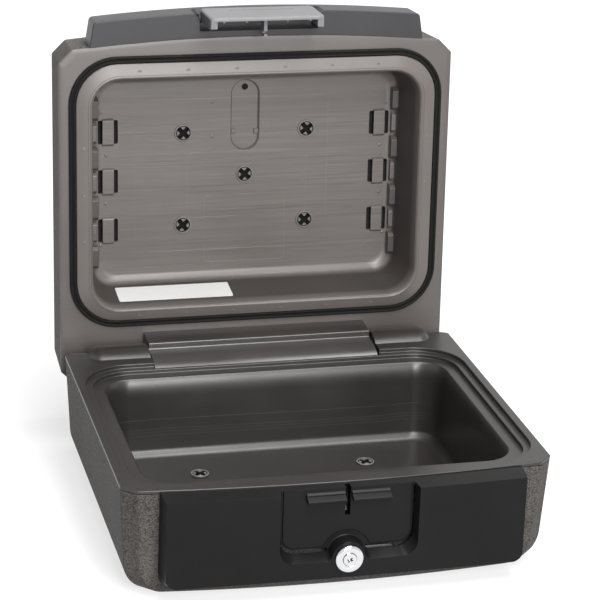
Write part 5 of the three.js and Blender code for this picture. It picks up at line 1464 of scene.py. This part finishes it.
class CHEST_OT_finishes(bpy.types.Operator):
    """Make every finish of the chest and put them on the pieces that stay as they are"""
    bl_idname = "chest.finishes"
    bl_label = "Finishes"

    def execute(self, context):
        s, colours = settings(context)
        crinkle_plastic(colours)
        flow_marked_plastic(s, colours)
        streaked_plastic(s, colours)
        satin_plastic("black_plastic", colours.black, 0.34, 0.12, 0.00002)
        satin_plastic("grip_plastic", colours.grip, 0.4, 0.25)
        satin_plastic("latch_plastic", colours.latch, 0.38, 0.25)
        floor = s.base_height - s.cavity_depth + PLUG_STAND + s.plug_rim
        plug_plastic("base_plug_plastic", colours.plug, coordinates, floor, 1)
        roof = s.base_height + s.hollow_depth - PLUG_STAND - s.plug_rim
        plug_plastic("lid_plug_plastic", colours.plug, lambda shader: shut_coordinates(shader, s), roof, -1)
        satin_plastic("strap_plastic", toned(colours.liner, 1.4), 0.34, 1.0)
        rubber(colours)
        paper(colours)
        metal("lock_chrome", colours.chrome, 0.08, 0.08)
        metal("plain_steel", colours.steel, 0.32, 0.15)
        # Painted shade: a near-black copy of the steel for the latch's pins, which sit in shade
        metal("dark_steel", toned(colours.steel, 0.08), 0.45, 0.15)
        chalky_fill(colours)
        for name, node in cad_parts.items():
            steel = "dark_steel" if "latch" in name else "plain_steel"
            worn = "chalky_fill" if "insulation" in name else steel
            node.data.materials.clear()
            node.data.materials.append(finish(worn))
        return {"FINISHED"}


class CHEST_OT_base(bpy.types.Operator):
    """Make the base's crinkled shell and its liner"""
    bl_idname = "chest.base"
    bl_label = "Base"

    def execute(self, context):
        return build_rows(
            context,
            (make_base_shell, "base_case", "base", "case_plastic", "crinkle_plastic", "base_shell"),
            (make_base_liner, "base_inside", "base", "base_liner_plastic", "base_liner_plastic",
             "base_liner"))


class CHEST_OT_plugs(bpy.types.Operator):
    """Set the fill plugs on both floors"""
    bl_idname = "chest.plugs"
    bl_label = "Fill plugs"

    def execute(self, context):
        s, _ = settings(context)
        floor = s.base_height - s.cavity_depth + PLUG_STAND
        roof = s.base_height + s.hollow_depth - PLUG_STAND
        rows = (("base", base_plug_places(), floor, (0, 0, 0)),
                ("lid", lid_plug_places(), roof, (math.pi, 0, 0)))
        for body, places, z, turn in rows:
            plastic, spots = f"{body}_plug_plastic", [(x, y, z) for x, y in places]
            plugs = scattered(f"{body}_plugs", spots, plug_template(s), plastic, turn, 0.15)
            plugs = shaded(opened(s, plugs) if body == "lid" else plugs)
            finished(plugs, f"{body}_plugs", body, "plug_plastic", plastic,
                     *[f"{body}_fill_plug_{i}" for i in range(1, 6)])
        return {"FINISHED"}


class CHEST_OT_lid(bpy.types.Operator):
    """Make the lid's shell, liner, seal and label"""
    bl_idname = "chest.lid"
    bl_label = "Lid"

    def execute(self, context):
        return build_rows(
            context,
            (make_lid_shell, "lid_case", "lid", "case_plastic", "crinkle_plastic", "lid_shell"),
            (make_lid_liner, "lid_inside", "lid", "lid_liner_plastic", "lid_liner_plastic", "lid_liner"),
            (make_seal, "lid_seal", "lid", "seal_rubber", "seal_rubber", "lid_gasket"),
            (make_label, "lid_label", "lid", "label_paper", "label_paper", "care_label"))


class CHEST_OT_lid_fittings(bpy.types.Operator):
    """Set the hook bridges, side tabs and moulding marks in the lid's hollow and on its ring"""
    bl_idname = "chest.lid_fittings"
    bl_label = "Lid fittings"

    def execute(self, context):
        s, _ = settings(context)
        plastic, deep = "lid_liner_plastic", s.base_height + s.hollow_depth + 0.0035
        nubs = [(-0.0116, -0.0652, deep), (0.0118, -0.0642, deep)]
        tabs, blocks = [hollow_rows(s, s.hollow_draft, rows) for rows in ((-0.5, 0.5, 1.5, 2.5), range(3))]
        for name, places, template in (
                ("hook_bridges", bridge_places(s), cut_block(0.0138, 0.0026, 0.00575, 0.0018, 0, 0.0005)),
                ("side_tabs", tabs, cut_block(0.0116, 0.0105, 0.0042)),
                ("side_blocks", blocks, cut_block(0.0108, 0.0062, 0.0034)),
                ("pill_nubs", nubs, nub_template()),
                ("ring_dots", ring_dots(s), dot_template(0.002, 0.00022)),
                ("floor_dots", floor_dots(s), dot_template(0.0017, 0.0009))):
            body = opened(s, scattered(name, places, template, plastic))
            finished(shaded(body), name, "lid", "lid_liner_plastic", plastic)
        return {"FINISHED"}


class CHEST_OT_hinge(bpy.types.Operator):
    """Make the hinge strap"""
    bl_idname = "chest.hinge"
    bl_label = "Hinge strap"

    def execute(self, context):
        return build_rows(
            context,
            (make_hinge_strap, "hinge_leaf", "lid", "base_liner_plastic", "strap_plastic", "hinge_strap"))


class CHEST_OT_latch(bpy.types.Operator):
    """Make the grip bar, the latch and its tongue"""
    bl_idname = "chest.latch"
    bl_label = "Grip and latch"

    def execute(self, context):
        return build_rows(
            context,
            (make_grip_bar, "grip", "lid", "grip_plastic", "grip_plastic", "grip_bar"),
            (make_latch, "latch", "latch", "latch_plastic", "latch_plastic", "latch_cover"),
            (make_tongue, "tongue", "latch", "latch_plastic", "latch_plastic", "latch_tongue"))


class CHEST_OT_panel(bpy.types.Operator):
    """Make the black front panel"""
    bl_idname = "chest.panel"
    bl_label = "Front panel"

    def execute(self, context):
        return build_rows(
            context,
            (make_front_panel, "panel", "base", "black_plastic", "black_plastic", "front_panel"))


class CHEST_OT_lock(bpy.types.Operator):
    """Make the key lock's face and plug"""
    bl_idname = "chest.lock"
    bl_label = "Lock"

    def execute(self, context):
        return build_rows(
            context,
            (make_lock_body, "lock_face", "base", "lock_chrome", "lock_chrome", "lock_body"),
            (make_lock_plug, "lock_core", "lock", "lock_chrome", "lock_chrome", "lock_plug"))


class CHEST_OT_stage(bpy.types.Operator):
    """Set the floor, lamps, white surroundings and camera"""
    bl_idname = "chest.stage"
    bl_label = "Studio"

    def execute(self, context):
        s, colours = settings(context)
        floor = solid("floor", [(-6, -6, 0), (6, -6, 0), (6, 6, 0), (-6, 6, 0)], [(0, 1, 2, 3)])
        floor.data.materials.append(white_floor(colours))
        for lamp in (("key", (0.05, -1.9, 1.05), (0.7, 0.6), 28), ("low", (0.1, -1.9, 0.5), (0.6, 0.35), 14),
                     ("high", (0.0, -1.2, 1.7), (1.0, 0.7), 25), ("side", (1.8, -0.5, 0.7), (0.5, 1.1), 0.8),
                     ("top", (0.3, 0.0, 1.95), (1.2, 0.8), 32)):
            add_lamp(*lamp)
        make_camera(s)
        make_world()
        return {"FINISHED"}


STEPS = (CHEST_OT_finishes, CHEST_OT_base, CHEST_OT_plugs, CHEST_OT_lid, CHEST_OT_lid_fittings,
         CHEST_OT_hinge, CHEST_OT_latch, CHEST_OT_panel, CHEST_OT_lock, CHEST_OT_stage)
GROUPS = {"chest_case": CaseSizes, "chest_inside": InsideSizes, "chest_front": FrontSizes,
          "chest_finishes": Finishes}


class CHEST_PT_sidebar(bpy.types.Panel):
    """The chest's pieces and sizes"""
    bl_label = "Fire chest"
    bl_idname = "CHEST_PT_sidebar"
    bl_space_type = "VIEW_3D"
    bl_region_type = "UI"
    bl_category = "Chest"

    def draw(self, context):
        for step in STEPS:
            self.layout.operator(step.bl_idname)
        for name in GROUPS:
            box, group = self.layout.box(), getattr(context.scene, name)
            for key in keys_of(group):
                box.prop(group, key)


CLASSES = (*GROUPS.values(), *STEPS, CHEST_PT_sidebar)


def register():
    """Registers the classes and hangs the property groups on the scene."""
    for item in CLASSES:
        bpy.utils.register_class(item)
    for name, group in GROUPS.items():
        setattr(bpy.types.Scene, name, PointerProperty(type=group))


def unregister():
    """Takes the property groups and classes away again."""
    for name in GROUPS:
        delattr(bpy.types.Scene, name)
    for item in reversed(CLASSES):
        bpy.utils.unregister_class(item)


def main():
    """Builds everything in order."""
    register()
    bpy.ops.chest.finishes()
    bpy.ops.chest.base()
    bpy.ops.chest.plugs()
    bpy.ops.chest.lid()
    bpy.ops.chest.lid_fittings()
    bpy.ops.chest.hinge()
    bpy.ops.chest.latch()
    bpy.ops.chest.panel()
    bpy.ops.chest.lock()
    bpy.ops.chest.stage()


if __name__ == "__main__":
    main()
